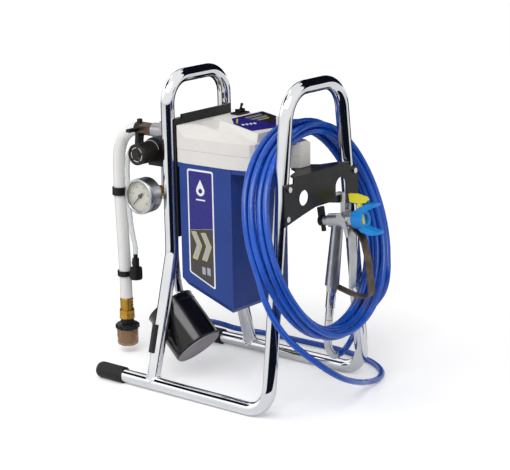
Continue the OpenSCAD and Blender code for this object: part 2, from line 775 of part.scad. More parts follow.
// a spur gear with straight sided teeth
module gear(teeth, r, bore, phase) {
    pitch = 360 / teeth;
    tip = r + 0.7 * tooth_module;
    root = r - 1.15 * tooth_module;
    points = [for (i = [0:teeth - 1]) each [for (q = [[-0.32, root], [-0.1, tip], [0.1, tip], [0.32, root]])
        let (a = phase + pitch * (i + q[0])) [q[1] * sin(a), q[1] * cos(a)]]];
    rotate([90, 0, 0])
        translate([0, 0, -gear_w]) difference() {
            linear_extrude(gear_w)
                polygon(points);
            if (bore > 0)
                translate([0, 0, -1])
                    cylinder(h=gear_w + 2, r=bore);
        }
}

// rotor with its shaft and pinion
module motor_rotor() {
    color([0.7, 0.45, 0.25]) {
        ycyl(shaft_x, -79, gear_y1 + 1, motor_z, shaft_r);
        ycyl(shaft_x, -44, 14, motor_z, 30);
        ycyl(shaft_x, -56, -45, motor_z, 14);
        translate([shaft_x, gear_start, motor_z])
            gear(pinion_teeth, pinion_r, 0, 0);
    }
}

// fan on the rear end of the motor shaft
module cooling_fan() {
    color([0.15, 0.15, 0.16]) difference() {
        union() {
            ycyl(shaft_x, -78, -70, motor_z, 12);
            ycyl(shaft_x, -71.5, -70, motor_z, 42);
            for (a = [0:40:320])
                translate([shaft_x, 0, motor_z])
                    rotate([0, a, 0])
                        box(10, 42, -78, -71, -1, 1);
        }
        ycyl(shaft_x, -80, -68, motor_z, shaft_r + 0.02);
    }
}

// ball bearings of the motor shaft and the crank shaft
module bearings() {
    color([0.7, 0.71, 0.73]) {
        difference() {
            ycyl(shaft_x, case_y1 - case_wall, plate_y1, pump_z, bearing_r - 0.02);
            ycyl(shaft_x, case_y1 - case_wall - 1, plate_y1 + 1, pump_z, crank_shaft_r + fit);
        }
        for (y = [[-66, -62], [case_y1 - 4, plate_y1]]) difference() {
            ycyl(shaft_x, y[0], y[1], motor_z, shaft_r + 3.98);
            ycyl(shaft_x, y[0] - 1, y[1] + 1, motor_z, shaft_r + fit);
        }
    }
}

// idler between the pinion and the crank gear
module idler_gear() {
    color([0.8, 0.7, 0.4])
        translate([shaft_x, gear_start, idler_z])
            gear(idler_teeth, idler_r, shaft_r + fit, 180 / idler_teeth);
}

// crank gear with its shaft, crank disc and crank pin
module crank_gear() {
    color([0.6, 0.6, 0.62]) {
        translate([shaft_x, gear_start, pump_z])
            gear(crank_teeth, crank_r, 0, 0);
        ycyl(shaft_x, 13, gear_start + 1, pump_z, crank_shaft_r);
        ycyl(shaft_x, 7.5, 14, pump_z, 16);
        ycyl(shaft_x, -8, 8, pump_z + stroke_half, crank_pin_r);
    }
}

// yoke around the crank pin, piston rod and piston
module yoke_and_rod() {
    color([0.7, 0.71, 0.73]) {
        difference() {
            box(shaft_x - yoke_half_x, shaft_x + yoke_half_x, -6, 6, pump_z - yoke_half_z,
                pump_z + yoke_half_z);
            box(shaft_x - window_half - stroke_half, shaft_x + window_half + stroke_half, -7, 7,
                pump_z - window_half, pump_z + window_half);
        }
        xcyl(piston_x1 - 1, shaft_x - yoke_half_x + eps, 0, pump_z, rod_r);
        xcyl(piston_x0, piston_x1, 0, pump_z, piston_r);
    }
}

// motor control board on four posts
module control_board() {
    z = motor_z - motor_r - 32;
    color([0.1, 0.35, 0.2]) {
        box(-78, 12, -58, 58, z, z + 1.6);
        for (x = [-72, 6], y = [-52, 52])
            zcyl(x, y, tub_floor(x - 3) + hw + 0.3, z + 0.5, 3);
        box(-60, -20, -30, 10, z + 1, z + 14);
        box(-10, 4, -40, 30, z + 1, z + 10);
    }
}

// manifold block with its neck and flange against the rear bracket
module manifold() {
    color([0.72, 0.73, 0.74]) difference() {
        union() {
            box(block_x0, block_x1, block_y0, block_y1, block_z0, block_z1);
            xcyl(block_x1 - 1, rear_plate_back, 0, pump_z, neck_r);
            box(flange_x, rear_plate_back, -44, 44, pump_z - 30, pump_z + 30);
        }
        xcyl(sleeve_x0 - 2, rear_plate_back + 1, 0, pump_z, bore_r);
        zcyl(ball_x, 0, pump_z + bore_r - 3, seat_z + 1, seat_r);
        zcyl(ball_x, 0, seat_z, inlet_z, ball_bore);
        xcyl(block_x0 - 1, ball_x, 0, inlet_z, 7);
        xcyl(block_x0 - 1, block_x0 + 18, valve_y, valve_z, 8);
        xcyl(block_x0 - 1, block_x0 + 14, -15, 440, 3.5);
        ycyl(knob_x, block_y0 - 1, block_y0 + 16, knob_z, 6);
        ycyl(gauge_x, block_y0 - 1, block_y0 + 12, gauge_z, 3.5);
        zcyl(outlet_x, outlet_y, block_z0 - 1, block_z0 + 30, 6);
        zcyl(filter_x, filter_y, block_z0 - 1, block_z0 + 34, 13);
        for (side = [-1, 1], z = mount_bolt_z)
            xcyl(flange_x - 1, rear_plate_back + 1, side * mount_bolt_y, z, bolt_r + fit);
    }
}

// cylinder sleeve of the pump
module pump_cylinder() {
    color([0.78, 0.78, 0.8]) difference() {
        xcyl(sleeve_x0, sleeve_x1, 0, pump_z, bore_r - 0.05);
        xcyl(sleeve_x0 - 1, sleeve_x1 + 1, 0, pump_z, piston_r + fit);
        zcyl(ball_x, 0, pump_z, pump_z + bore_r + 2, 4);
    }
}

// packing gland around the piston rod
module packing_gland() {
    color([0.78, 0.62, 0.3]) difference() {
        xcyl(sleeve_x1, rear_plate_back, 0, pump_z, bore_r - 0.05);
        xcyl(sleeve_x1 - 1, rear_plate_back + 1, 0, pump_z, rod_r + fit);
    }
}

// ball of the inlet valve, loose on its seat
module inlet_ball() {
    color([0.8, 0.8, 0.82])
        translate([ball_x, 0, seat_z + sqrt(ball_r * ball_r - seat_r * seat_r) + 0.05])
            sphere(r=ball_r);
}

// filter tube inside the manifold
module outlet_filter() {
    color([0.85, 0.85, 0.86]) difference() {
        zcyl(filter_x, filter_y, block_z0 + 4, block_z0 + 33, 10);
        zcyl(filter_x, filter_y, block_z0 + 3, block_z0 + 30, 8);
    }
}

// cap that closes the filter bore
module filter_cap() {
    color([0.78, 0.79, 0.8]) {
        zhex(filter_x, filter_y, block_z0 - 12, block_z0, 16);
        zcyl(filter_x, filter_y, block_z0 - 1, block_z0 + 4, 12.95);
    }
}

// outlet fitting that the fluid hose screws on
module outlet_fitting() {
    color([0.78, 0.79, 0.8]) {
        zhex(outlet_x, outlet_y, block_z0 - 13, block_z0, 11);
        zcyl(outlet_x, outlet_y, block_z0 - 1, block_z0 + 10, 5.95);
        zcyl(outlet_x, outlet_y, 312, block_z0 - 12, 8);
    }
}

// pressure transducer on the far side of the manifold
module pressure_transducer() {
    color([0.5, 0.5, 0.52]) {
        ycyl(-150, block_y1, block_y1 + 8, 440, 12);
        ycyl(-150, block_y1 + 7, block_y1 + 22, 440, 9);
    }
}

// black housing behind the pressure knob
module knob_housing() {
    color([0.07, 0.07, 0.07]) difference() {
        union() {
            box(knob_x - 18, knob_x + 18, block_y0 - 28, block_y0, knob_z - 30, knob_z + 20);
            ycyl(knob_x, block_y0 - 31, block_y0, knob_z, knob_r + 5);
            ycyl(knob_x, knob_back, block_y0 - 30, knob_z, knob_r + 2);
        }
        ycyl(knob_x, knob_back - 1, block_y0 - 14, knob_z, 5 + fit);
    }
}

// black knob that sets the pressure
module pressure_knob() {
    y0 = knob_back - 0.3 - knob_length;
    color([0.09, 0.09, 0.09]) difference() {
        union() {
            ycyl(knob_x, y0, knob_back - 0.3, knob_z, knob_r);
            ycyl(knob_x, knob_back - 0.4, block_y0 - 15, knob_z, 5);
        }
        ycyl(knob_x, y0 - 1, y0 + 2, knob_z, knob_r - 5);
        for (a = [0:30:330])
            translate([knob_x, 0, knob_z])
                rotate([0, a, 0])
                    ycyl(knob_r + 1.5, y0 - 1, y0 + knob_length - 8, 0, 3);
    }
}

// body of the prime valve and the barb of the drain tube
module prime_valve() {
    color([0.75, 0.6, 0.32]) {
        xcyl(block_x0 - 27, block_x0, valve_y, valve_z, 14);
        xhex(block_x0 - 58, block_x0 - 27 + eps, valve_y, valve_z, 13);
        xcyl(block_x0 - 70, block_x0 - 58 + eps, valve_y, valve_z, 5);
        xcyl(-188, block_x0, -15, 440, 5);
    }
}

// black lever of the prime valve
module valve_handle() {
    x0 = block_x0 - 70.5;
    x1 = block_x0 - 58.3;
    color([0.06, 0.06, 0.06]) difference() {
        union() {
            xcyl(x0, x1, valve_y, valve_z, 12);
            box(x0 + 1, x1 - 1, valve_y - 34, valve_y - 8, valve_z - 4, valve_z + 2);
            translate([x0 + 2, 0, 0])
                rotate([90, 0, 90])
                    linear_extrude(8)
                        polygon([[valve_y - 9, valve_z - 6], [valve_y - 12, valve_z - 34], [valve_y + 4,
                            valve_z - 36],
                            [valve_y + 9, valve_z - 6]]);
            box(x0 + 3, x1 - 2, valve_y - 4, valve_y + 4, valve_z + 8, valve_z + 18);
        }
        xcyl(block_x0 - 71, x1 + 1, valve_y, valve_z, 5 + fit);
    }
}

// fitting of the suction hose on the manifold
module inlet_fitting() {
    color([0.74, 0.73, 0.7]) difference() {
        union() {
            xcyl(block_x0 - 16, block_x0, 0, inlet_z, 13.5);
            xhex(block_x0 - 34, block_x0 - 16 + eps, 0, inlet_z, 15.5);
            xcyl(-226, block_x0 - 34 + eps, 0, inlet_z, suction_d / 2 + 0.8);
        }
        xcyl(-227, block_x0 + 1, 0, inlet_z, 7);
    }
}

// steel case and brass stem of the pressure gauge
module gauge_case() {
    color([0.75, 0.76, 0.78]) {
        difference() {
            ycyl(gauge_x, gauge_face, gauge_back, gauge_z, gauge_r);
            ycyl(gauge_x, gauge_face - 1, gauge_back - 3, gauge_z, gauge_r - 5);
            ycyl(gauge_x, gauge_face + 2, gauge_back - 3, gauge_z, gauge_r - 3);
        }
        ycyl(gauge_x, gauge_back - eps, block_y0, gauge_z, 7);
        translate([gauge_x, -66, gauge_z])
            rotate([-90, 0, 0])
                cylinder(h=12, r=11, $fn=6);
    }
}

// dial of the gauge
module gauge_dial() {
    color([0.95, 0.94, 0.88]) difference() {
        union() {
            ycyl(gauge_x, gauge_face + 9, gauge_face + 10, gauge_z, gauge_r - 3.05);
            ycyl(gauge_x, gauge_face + 9, gauge_back - 3, gauge_z, 6);
        }
        ycyl(gauge_x, gauge_face + 8, gauge_face + 16, gauge_z, 1.5 + fit);
    }
}

// needle of the gauge
module gauge_needle() {
    color([0.05, 0.05, 0.05]) {
        ycyl(gauge_x, gauge_face + 6, gauge_face + 14, gauge_z, 1.5);
        ycyl(gauge_x, gauge_face + 6, gauge_face + 7.5, gauge_z, 4);
        translate([gauge_x, gauge_face + 6, gauge_z])
            rotate([90, 0, 0])
                rotate([0, 0, 225])
                    translate([0, 0, -1.2])
                        linear_extrude(1.2)
                            polygon([[-8, -1.6], [-8, 1.6], [24, 0.5], [24, -0.5]]);
    }
}

// clear lens of the gauge
module gauge_lens() {
    color([0.8, 0.85, 0.88])
        ycyl(gauge_x, gauge_face + 2, gauge_face + 4, gauge_z, gauge_r - 3.05);
}

function longer(p) = concat([p[0] + unit(p[0] - p[1])], p,
    [p[len(p) - 1] + unit(p[len(p) - 1] - p[len(p) - 2])]);

// clear hose from the strainer to the manifold
module suction_hose() {
    path = smooth(suction_route, 2);
    color([0.9, 0.91, 0.9]) difference() {
        cord(path, suction_d / 2, 12);
        cord(longer(path), suction_d / 2 - suction_wall, 12);
    }
}

// brass ferrule and nut on the lower end of the suction hose
module hose_coupling() {
    color([0.79, 0.63, 0.26]) difference() {
        union() {
            zcyl(strainer_x, 0, 92, 114, suction_d / 2 + 1);
            zcyl(strainer_x, 0, 88, 93, suction_d / 2 - 1);
            zhex(strainer_x, 0, 72, 89, 17);
        }
        zcyl(strainer_x, 0, 71, 115, 7);
    }
}

// black stem and flange that hold the strainer bowl
module strainer_stem() {
    color([0.08, 0.08, 0.08]) difference() {
        union() {
            zcyl(strainer_x, 0, 59, 72, 13);
            zcyl(strainer_x, 0, 50, 60, 24.3);
            zcyl(strainer_x, 0, 30, 51, 9);
        }
        zcyl(strainer_x, 0, 29, 73, 6);
    }
}

// clear amber bowl of the strainer
module strainer_bowl() {
    color([0.72, 0.55, 0.3]) difference() {
        union() {
            zcyl(strainer_x, 0, 18.5, 50, bowl_d / 2);
            zcyl(strainer_x, 0, 15.3, 19, bowl_d / 2 - 3);
        }
        zcyl(strainer_x, 0, 20.5, 51, bowl_d / 2 - 2);
    }
}

// clear drain tube from the prime valve
module drain_tube() {
    color([0.92, 0.93, 0.92])
        cord(smooth(drain_route, 2), drain_d / 2, 8);
}

// diffuser on the end of the drain tube, with the clips that hold the tube to the hose
module drain_diffuser() {
    color([0.07, 0.07, 0.07]) {
        zcyl(-292, 0, 199, 209, 4.5);
        zcyl(-292, 0, 180, 200, 7);
        box(-300, -292, -3.5, 3.5, 186, 194);
        zcyl(-292, 0, 157, 181, diffuser_d / 2);
        difference() {
            union() {
                zcyl(-321.6, 0, 160, 171, suction_d / 2 + 3.4);
                box(-307, -302, -5, 5, 160, 171);
            }
            zcyl(-321.6, 0, 159, 172, suction_d / 2 + 0.6);
        }
        difference() {
            union() {
                zcyl(clip_x, 0, 326, 342, suction_d / 2 + 3.4);
                zcyl(-306, 0, 326, 342, drain_d / 2 + 3);
            }
            zcyl(clip_x, 0, 325, 343, suction_d / 2 + 0.6);
            zcyl(-306, 0, 325, 343, drain_d / 2 + 0.4);
        }
    }
}

// black cup that catches drips, with the boss that it tilts on
module drip_cup() {
    color([0.06, 0.06, 0.06]) difference() {
        union() {
            translate(cup_at)
                rotate([0, -cup_tilt, 0])
                    translate([0, 0, -cup_length / 2])
                        cylinder(h=cup_length, r=cup_r);
            ycyl(cup_at[0], cup_side - 5, cup_side + 6, cup_at[2], cup_pin_r + 4);
        }
        translate(cup_at)
            rotate([0, -cup_tilt, 0])
                translate([0, 0, cup_wall - cup_length / 2])
                    cylinder(h=cup_length, r=cup_r - cup_wall);
        ycyl(cup_at[0], cup_side - 6, cup_side - 0.6, cup_at[2], cup_pin_r + fit);
    }
}

// clip on the near rear leg with the pin of the drip cup
module cup_holder() {
    clip_mid = knee_height - cup_at[2] + 6.5;
    color([0.06, 0.06, 0.06]) {
        difference() {
            union() {
                translate([rear_x, -rear_half, knee_height])
                    rotate([180 - flare, 0, 0])
                        translate([0, 0, (clip_mid - 27) / cos(flare)])
                            cylinder(h=54, r=tube_r + 4);
                box(cup_at[0] - 8, cup_at[0] + 6, -rear_leg_y(cup_at[2]), cup_side - 5.3, cup_at[2] - 12,
                    cup_at[2] + 12);
            }
            translate([rear_x, -rear_half, knee_height])
                rotate([180 - flare, 0, 0])
                    cylinder(h=400, r=tube_r + 0.1);
            box(rear_x + 4, rear_x + 30, -rear_leg_y(cup_at[2]) - 40, -rear_leg_y(cup_at[2]) + 40, 50, 150);
        }
        ycyl(cup_at[0], cup_side - 5.4, cup_side - 0.8, cup_at[2], cup_pin_r);
    }
}

// hose wound round the front legs
module hose_coil() {
    echo(least_gap_of_the_coil=least_gap(coil_path, coil_rings / 3, hose_r));
    color([0.1, 0.31, 0.68])
        cord(coil_path, hose_r, 6);
}

// hose from the coil to the pump
module hose_pump_end() {
    color([0.1, 0.31, 0.68])
        cord(smooth(pump_route, 2), hose_r, 10);
}

// hose from the coil to the gun
module hose_gun_end() {
    color([0.1, 0.31, 0.68])
        cord(smooth(gun_route, 2), hose_r, 10);
}

function part_of(p, a, b) = [for (i = [a:b]) p[i]];

// spring guard at the pump and sleeve at the gun
module hose_guards() {
    pump_path = smooth(pump_route, 2);
    last = len(pump_path) - 1;
    guard_path = part_of(pump_path, last - 8, last);
    sleeve_path = part_of(smooth(gun_route, 2), 0, 10);
    color([0.8, 0.81, 0.82]) {
        for (path = [guard_path, sleeve_path]) difference() {
            cord(path, guard_d / 2, 12);
            cord(longer(path), hose_r + 0.6, 12);
        }
    }
}

module gun_frame() {
    translate([163, gun_y, 329])
        rotate([0, -9, 0])
            children();
}

module grip_frame() {
    translate([163, gun_y, 329])
        rotate([0, 6.5, 0])
            children();
}

module grip_cone(t) {
    translate([0, 0, -127])
        cylinder(h=120, r1=grip_r + 1.5 + t, r2=grip_r - 1 + t);
}

// spray gun body with its grip and hook
module gun_body() {
    color([0.72, 0.73, 0.75]) difference() {
        union() {
            gun_frame() {
                xcyl(-18, 30, 0, 0, barrel_r);
                xcyl(-30, -17, 0, 0, 9);
                xhex(29, 40, 0, 0, 14);
                xcyl(39, 48.5, 0, 0, 8);
                ycyl(trigger_x, -16.5, 16.5, trigger_z, pin_r);
            }
            grip_frame() {
                grip_cone(0);
                translate([0, 0, -140])
                    cylinder(h=14, r=11, $fn=6);
            }
            translate([0, gun_y + hook_w / 2, 0])
                rotate([90, 0, 0])
                    linear_extrude(hook_w)
                        polygon([[plate_front + 1.5, 336], [plate_front + 5.5, 336], [plate_front + 5.5,
                            hook_z + 4],
                            [plate_x - 5.5, hook_z + 4], [plate_x - 5.5, hook_z - 7], [plate_x - 1.5,
                            hook_z - 7],
                            [plate_x - 1.5, hook_z], [plate_front + 1.5, hook_z]]);
        }
        gun_frame() {
            xcyl(-23.5, 49, 0, 0, 2 + fit);
            xcyl(-31, -24, 0, 0, 3 + fit);
        }
        grip_frame()
            translate([0, 0, -141])
                cylinder(h=6, r=6 + fit);
    }
}

function strip(p, t) = let (n = [for (i = [0:len(p) - 1]) let (d = unit(p[min(i + 1,
    len(p) - 1)] - p[max(i - 1, 0)]))
    [-d[1], d[0]]]) concat([for (i = [0:len(p) - 1]) p[i] + n[i] * t / 2],
    [for (i = [len(p) - 1:-1:0]) p[i] - n[i] * t / 2]);

// trigger that hangs on the pin of the gun body
module gun_trigger() {
    color([0.7, 0.71, 0.73])
        gun_frame() {
            for (y = [-16.2, 13.6]) difference() {
                translate([0, y + 2.6, 0])
                    rotate([90, 0, 0])
                        linear_extrude(2.6)
                            polygon([[8, 5], [11, 16], [20, 16], [24, 8], [31, -14], [30, -30], [24,
                                -30], [22, -14]]);
                ycyl(trigger_x, -20, 20, trigger_z, pin_r + fit);
            }
            translate([0, 16.2, 0])
                rotate([90, 0, 0])
                    linear_extrude(32.4)
                        polygon([[22, -16], [30.5, -16], [30, -30], [24, -30]]);
            translate([0, 8, 0])
                rotate([90, 0, 0])
                    linear_extrude(16)
                        polygon([[24, -29], [30, -29], [27, -70], [14, -128], [9, -128], [20, -70]]);
        }
}

// strap in front of the trigger
module trigger_guard() {
    path = [[34.5, -11], [38.4, -20], [47, -28], [53, -42], [57, -80], [54.5, -136], [50, -142.5], [43, -145], [11, -139],
        [-22, -125.5], [-30, -122]];
    color([0.45, 0.43, 0.4]) difference() {
        gun_frame()
            translate([0, strap_w / 2, 0])
                rotate([90, 0, 0])
                    linear_extrude(strap_w)
                        polygon(strip(path, strap_t));
        gun_frame()
            xhex(28, 41, 0, 0, 14.1);
        grip_frame() {
            grip_cone(0.1);
            translate([0, 0, -145])
                cylinder(h=18.1, r=grip_r + 1.6);
        }
    }
}

// lever that locks the trigger
module trigger_lock() {
    color([0.35, 0.35, 0.37])
        gun_frame() {
            xcyl(-40, -30.3, 0, 0, 10);
            xcyl(-31, -24.4, 0, 0, 3);
            box(-39, -32, -7, 7, 4, 26);
            box(-38, -32, -3.5, 3.5, -20, -5);
        }
}

// fluid needle inside the gun
module gun_needle() {
    color([0.8, 0.8, 0.82])
        gun_frame()
            xcyl(-19, 46, 0, 0, 2);
}

// swivel between the gun and the hose
module gun_swivel() {
    color([0.78, 0.79, 0.8])
        grip_frame() {
            translate([0, 0, -152])
                cylinder(h=16, r=6);
            translate([0, 0, -172])
                cylinder(h=31.7, r=9);
            translate([0, 0, -195.2])
                cylinder(h=24, r=7.5);
        }
}

// blue guard around the spray tip
module tip_guard() {
    color([0.06, 0.5, 0.82]) difference() {
        gun_frame() {
            xcyl(40.3, 62, 0, 0, 17);
            for (side = [-1, 1])
                translate([0, 9, 0])
                    rotate([90, 0, 0])
                        linear_extrude(18)
                            polygon([[50, side * 12], [61, side * 12], [78, side * 19], [93, side * 23],
                                [93, side * 28],
                                [74, side * 29], [54, side * 22], [48, side * 14]]);
        }
        gun_frame() {
            xcyl(39, 48.6, 0, 0, 8 + fit);
            xcyl(48, 63, 0, 0, 4);
            zcyl(tip_x, 0, -12, 30, 5 + fit);
            xcyl(57, 63, 0, 0, 10);
        }
    }
}

// spray tip with its yellow handle
module spray_tip() {
    color([0.9, 0.85, 0.2])
        gun_frame() difference() {
            union() {
                zcyl(tip_x, 0, -11.9, 30, 5);
                translate([0, 3.5, 0])
                    rotate([90, 0, 0])
                        linear_extrude(7)
                            polygon([[tip_x - 20, 33], [tip_x - 8, 31], [tip_x + 6, 29.8], [tip_x + 16, 30.5],
                            [tip_x + 21, 35], [tip_x + 17, 40.5], [tip_x - 2, 47], [tip_x - 20, 48.5]]);
            }
            xcyl(40, 70, 0, 0, 1);
        }
}

front_frame_tube();
rear_hoop();
foot_caps();
front_bracket();
rear_bracket();
fasteners();
motor_shroud();
lower_cover();
top_cover();
side_label();
top_label();
switch_body();
switch_lever();
gear_case();
gear_plate();
motor_case();
motor_rotor();
cooling_fan();
bearings();
idler_gear();
crank_gear();
yoke_and_rod();
control_board();
manifold();
pump_cylinder();
packing_gland();
inlet_ball();
outlet_filter();
filter_cap();
outlet_fitting();
pressure_transducer();
knob_housing();
pressure_knob();
prime_valve();
valve_handle();
inlet_fitting();
gauge_case();
gauge_dial();
gauge_needle();
gauge_lens();
suction_hose();
hose_coupling();
strainer_stem();
strainer_bowl();
drain_tube();
drain_diffuser();
drip_cup();
cup_holder();
hose_coil();
hose_pump_end();
hose_gun_end();
hose_guards();
gun_body();
gun_trigger();
trigger_guard();
trigger_lock();
gun_needle();
gun_swivel();
tip_guard();
spray_tip();
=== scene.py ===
import math
import random
import bpy
import bmesh
from mathutils import Matrix, Vector


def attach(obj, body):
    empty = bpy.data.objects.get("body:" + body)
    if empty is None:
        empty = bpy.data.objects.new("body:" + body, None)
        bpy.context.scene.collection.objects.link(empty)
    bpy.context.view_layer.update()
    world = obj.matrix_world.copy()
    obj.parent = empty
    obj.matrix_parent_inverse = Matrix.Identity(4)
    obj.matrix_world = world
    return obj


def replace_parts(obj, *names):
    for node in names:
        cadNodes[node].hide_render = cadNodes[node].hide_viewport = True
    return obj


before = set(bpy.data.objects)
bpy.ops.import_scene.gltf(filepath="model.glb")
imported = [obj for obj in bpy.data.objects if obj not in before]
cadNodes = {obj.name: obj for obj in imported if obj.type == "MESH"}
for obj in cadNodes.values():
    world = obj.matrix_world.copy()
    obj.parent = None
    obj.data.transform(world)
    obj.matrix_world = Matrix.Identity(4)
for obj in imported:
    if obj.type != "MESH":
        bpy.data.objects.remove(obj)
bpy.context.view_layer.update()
mm = 0.001
random.seed(21)


def say(stage):
    print("scene:", stage)


# geometry helpers

def vec(*p):
    return Vector(p) * mm


def linkMesh(name, mesh, material=None, smooth=True):
    piece = bpy.data.objects.new(name, mesh)
    bpy.context.scene.collection.objects.link(piece)
    if material:
        mesh.materials.clear()
        mesh.materials.append(material)
    if smooth:
        for polygon in mesh.polygons:
            polygon.use_smooth = True
    return piece


def fromBmesh(name, bm, material=None, smooth=True):
    bmesh.ops.recalc_face_normals(bm, faces=bm.faces)
    mesh = bpy.data.meshes.new(name)
    bm.to_mesh(mesh)
    bm.free()
    return linkMesh(name, mesh, material, smooth)


def applied(piece):
    bpy.context.view_layer.update()
    graph = bpy.context.evaluated_depsgraph_get()
    mesh = bpy.data.meshes.new_from_object(piece.evaluated_get(graph), depsgraph=graph)
    piece.modifiers.clear()
    piece.data = mesh
    return piece


def bevelled(piece, width, segments=3, angle=28):
    bevel = piece.modifiers.new("bevel", "BEVEL")
    bevel.width = width * mm
    bevel.segments = segments
    bevel.limit_method = "ANGLE"
    bevel.angle_limit = math.radians(angle)
    bevel.harden_normals = False
    bevel.use_clamp_overlap = True
    weighted = piece.modifiers.new("weighted", "WEIGHTED_NORMAL")
    weighted.keep_sharp = False
    return applied(piece)


def joined(name, pieces, material=None):
    bm = bmesh.new()
    materials = []
    for piece in pieces:
        start = len(bm.faces)
        bm.from_mesh(piece.data)
        bm.faces.ensure_lookup_table()
        slots = []
        for m in piece.data.materials:
            if m not in materials:
                materials.append(m)
            slots.append(materials.index(m))
        for face in bm.faces[start:]:
            face.material_index = slots[face.material_index] if slots else 0
    mesh = bpy.data.meshes.new(name)
    bm.to_mesh(mesh)
    bm.free()
    for piece in pieces:
        bpy.data.objects.remove(piece)
    whole = bpy.data.objects.new(name, mesh)
    bpy.context.scene.collection.objects.link(whole)
    if material:
        mesh.materials.append(material)
    else:
        for m in materials:
            mesh.materials.append(m)
    return whole


def axes(origin, z, x=None):
    z = Vector(z).normalized()
    x = Vector(x) if x else (Vector((1, 0, 0)) if abs(z.x) < 0.9 else Vector((0, 0, 1)))
    x = (x - z * x.dot(z)).normalized()
    y = z.cross(x)
    m = Matrix((x, y, z)).transposed().to_4x4()
    m.translation = Vector(origin)
    return m


def lathe(name, profile, place, material=None, sides=72):
    # profile is (radius, height) in mm, from the axis and back to the axis where it closes
    turns = [2 * math.pi * i / sides for i in range(sides)]
    bm = bmesh.new()
    rings = []
    for radius, height in profile:
        if radius < 1e-6:
            rings.append([bm.verts.new((0, 0, height * mm))])
        else:
            rings.append([bm.verts.new((radius * mm * math.cos(a), radius * mm * math.sin(a), height * mm))
                          for a in turns])
    for a, b in zip(rings, rings[1:]):
        for i in range(sides):
            j = (i + 1) % sides
            if len(a) == 1 and len(b) == 1:
                continue
            if len(a) == 1:
                bm.faces.new((a[0], b[i], b[j]))
            elif len(b) == 1:
                bm.faces.new((a[i], a[j], b[0]))
            else:
                bm.faces.new((a[i], a[j], b[j], b[i]))
    bmesh.ops.transform(bm, matrix=place, verts=bm.verts)
    return sharpened(fromBmesh(name, bm, material))


def sharpened(piece, angle=35):
    for polygon in piece.data.polygons:
        polygon.use_smooth = True
    piece.data.set_sharp_from_angle(angle=math.radians(angle))
    return piece


def prism(name, outline, place, low, high, material=None, bevel=0.0):
    # outline is in mm in the place's own x and y, extruded from low to high along its z
    bm = bmesh.new()
    bottom = [bm.verts.new((x * mm, y * mm, low * mm)) for x, y in outline]
    top = [bm.verts.new((x * mm, y * mm, high * mm)) for x, y in outline]
    bm.faces.new(bottom[::-1])
    bm.faces.new(top)
    for i in range(len(outline)):
        j = (i + 1) % len(outline)
        bm.faces.new((bottom[i], bottom[j], top[j], top[i]))
    bmesh.ops.transform(bm, matrix=place, verts=bm.verts)
    piece = fromBmesh(name, bm, material, smooth=bevel > 0)
    return bevelled(piece, bevel) if bevel else piece


def brick(name, low, high, material=None, bevel=1.0):
    outline = [(low[0], low[1]), (high[0], low[1]), (high[0], high[1]), (low[0], high[1])]
    return prism(name, outline, Matrix.Identity(4), low[2], high[2], material, bevel)


def hexagon(radius, turn=0):
    return [(radius * math.cos(math.radians(60 * i + turn)), radius * math.sin(math.radians(60 * i + turn)))
            for i in range(6)]


def sweep(name, points, radius, sides, material=None, caps=True, radii=None):
    # a round tube through the points, with u round it and v along it in metres
    points = [Vector(p) for p in points]
    count = len(points)
    headings = [(points[min(i + 1, count - 1)] - points[max(i - 1, 0)]).normalized() for i in range(count)]
    sideways = Vector((0, 0, 1)) if abs(headings[0].z) < 0.9 else Vector((1, 0, 0))
    normal = headings[0].cross(sideways).normalized()
    bm = bmesh.new()
    uvLayer = bm.loops.layers.uv.new("tube")
    rings = []
    along = [0.0]
    for i in range(count):
        if i:
            along.append(along[-1] + (points[i] - points[i - 1]).length)
            normal = (normal - headings[i] * normal.dot(headings[i])).normalized()
        side = headings[i].cross(normal)
        r = radii[i] if radii else radius
        rings.append([bm.verts.new(points[i] + r * (math.cos(2 * math.pi * k / sides) * normal
                                                    + math.sin(2 * math.pi * k / sides) * side))
                      for k in range(sides)])
    for i in range(count - 1):
        for k in range(sides):
            j = (k + 1) % sides
            face = bm.faces.new((rings[i][k], rings[i][j], rings[i + 1][j], rings[i + 1][k]))
            for loop, uv in zip(face.loops, ((k, i), (k + 1, i), (k + 1, i + 1), (k, i + 1))):
                loop[uvLayer].uv = (uv[0] / sides, along[uv[1]])
    if caps:
        bm.faces.new(rings[0][::-1])
        bm.faces.new(rings[-1])
    return sharpened(fromBmesh(name, bm, material), 50)


def softened(node, width, segments, angle):
    # the CAD node's shape with its edges rounded
    source = cadNodes[node]
    bm = bmesh.new()
    bm.from_mesh(source.data)
    bmesh.ops.remove_doubles(bm, verts=bm.verts, dist=2e-6)
    bmesh.ops.dissolve_limit(bm, angle_limit=math.radians(0.6), verts=bm.verts, edges=bm.edges)
    piece = fromBmesh(node + "_soft", bm)
    for m in source.data.materials:
        piece.data.materials.append(m)
    bevelled(piece, width, segments, angle)
    for polygon in piece.data.polygons:
        polygon.use_smooth = True
    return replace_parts(piece, node)


ringTree = None


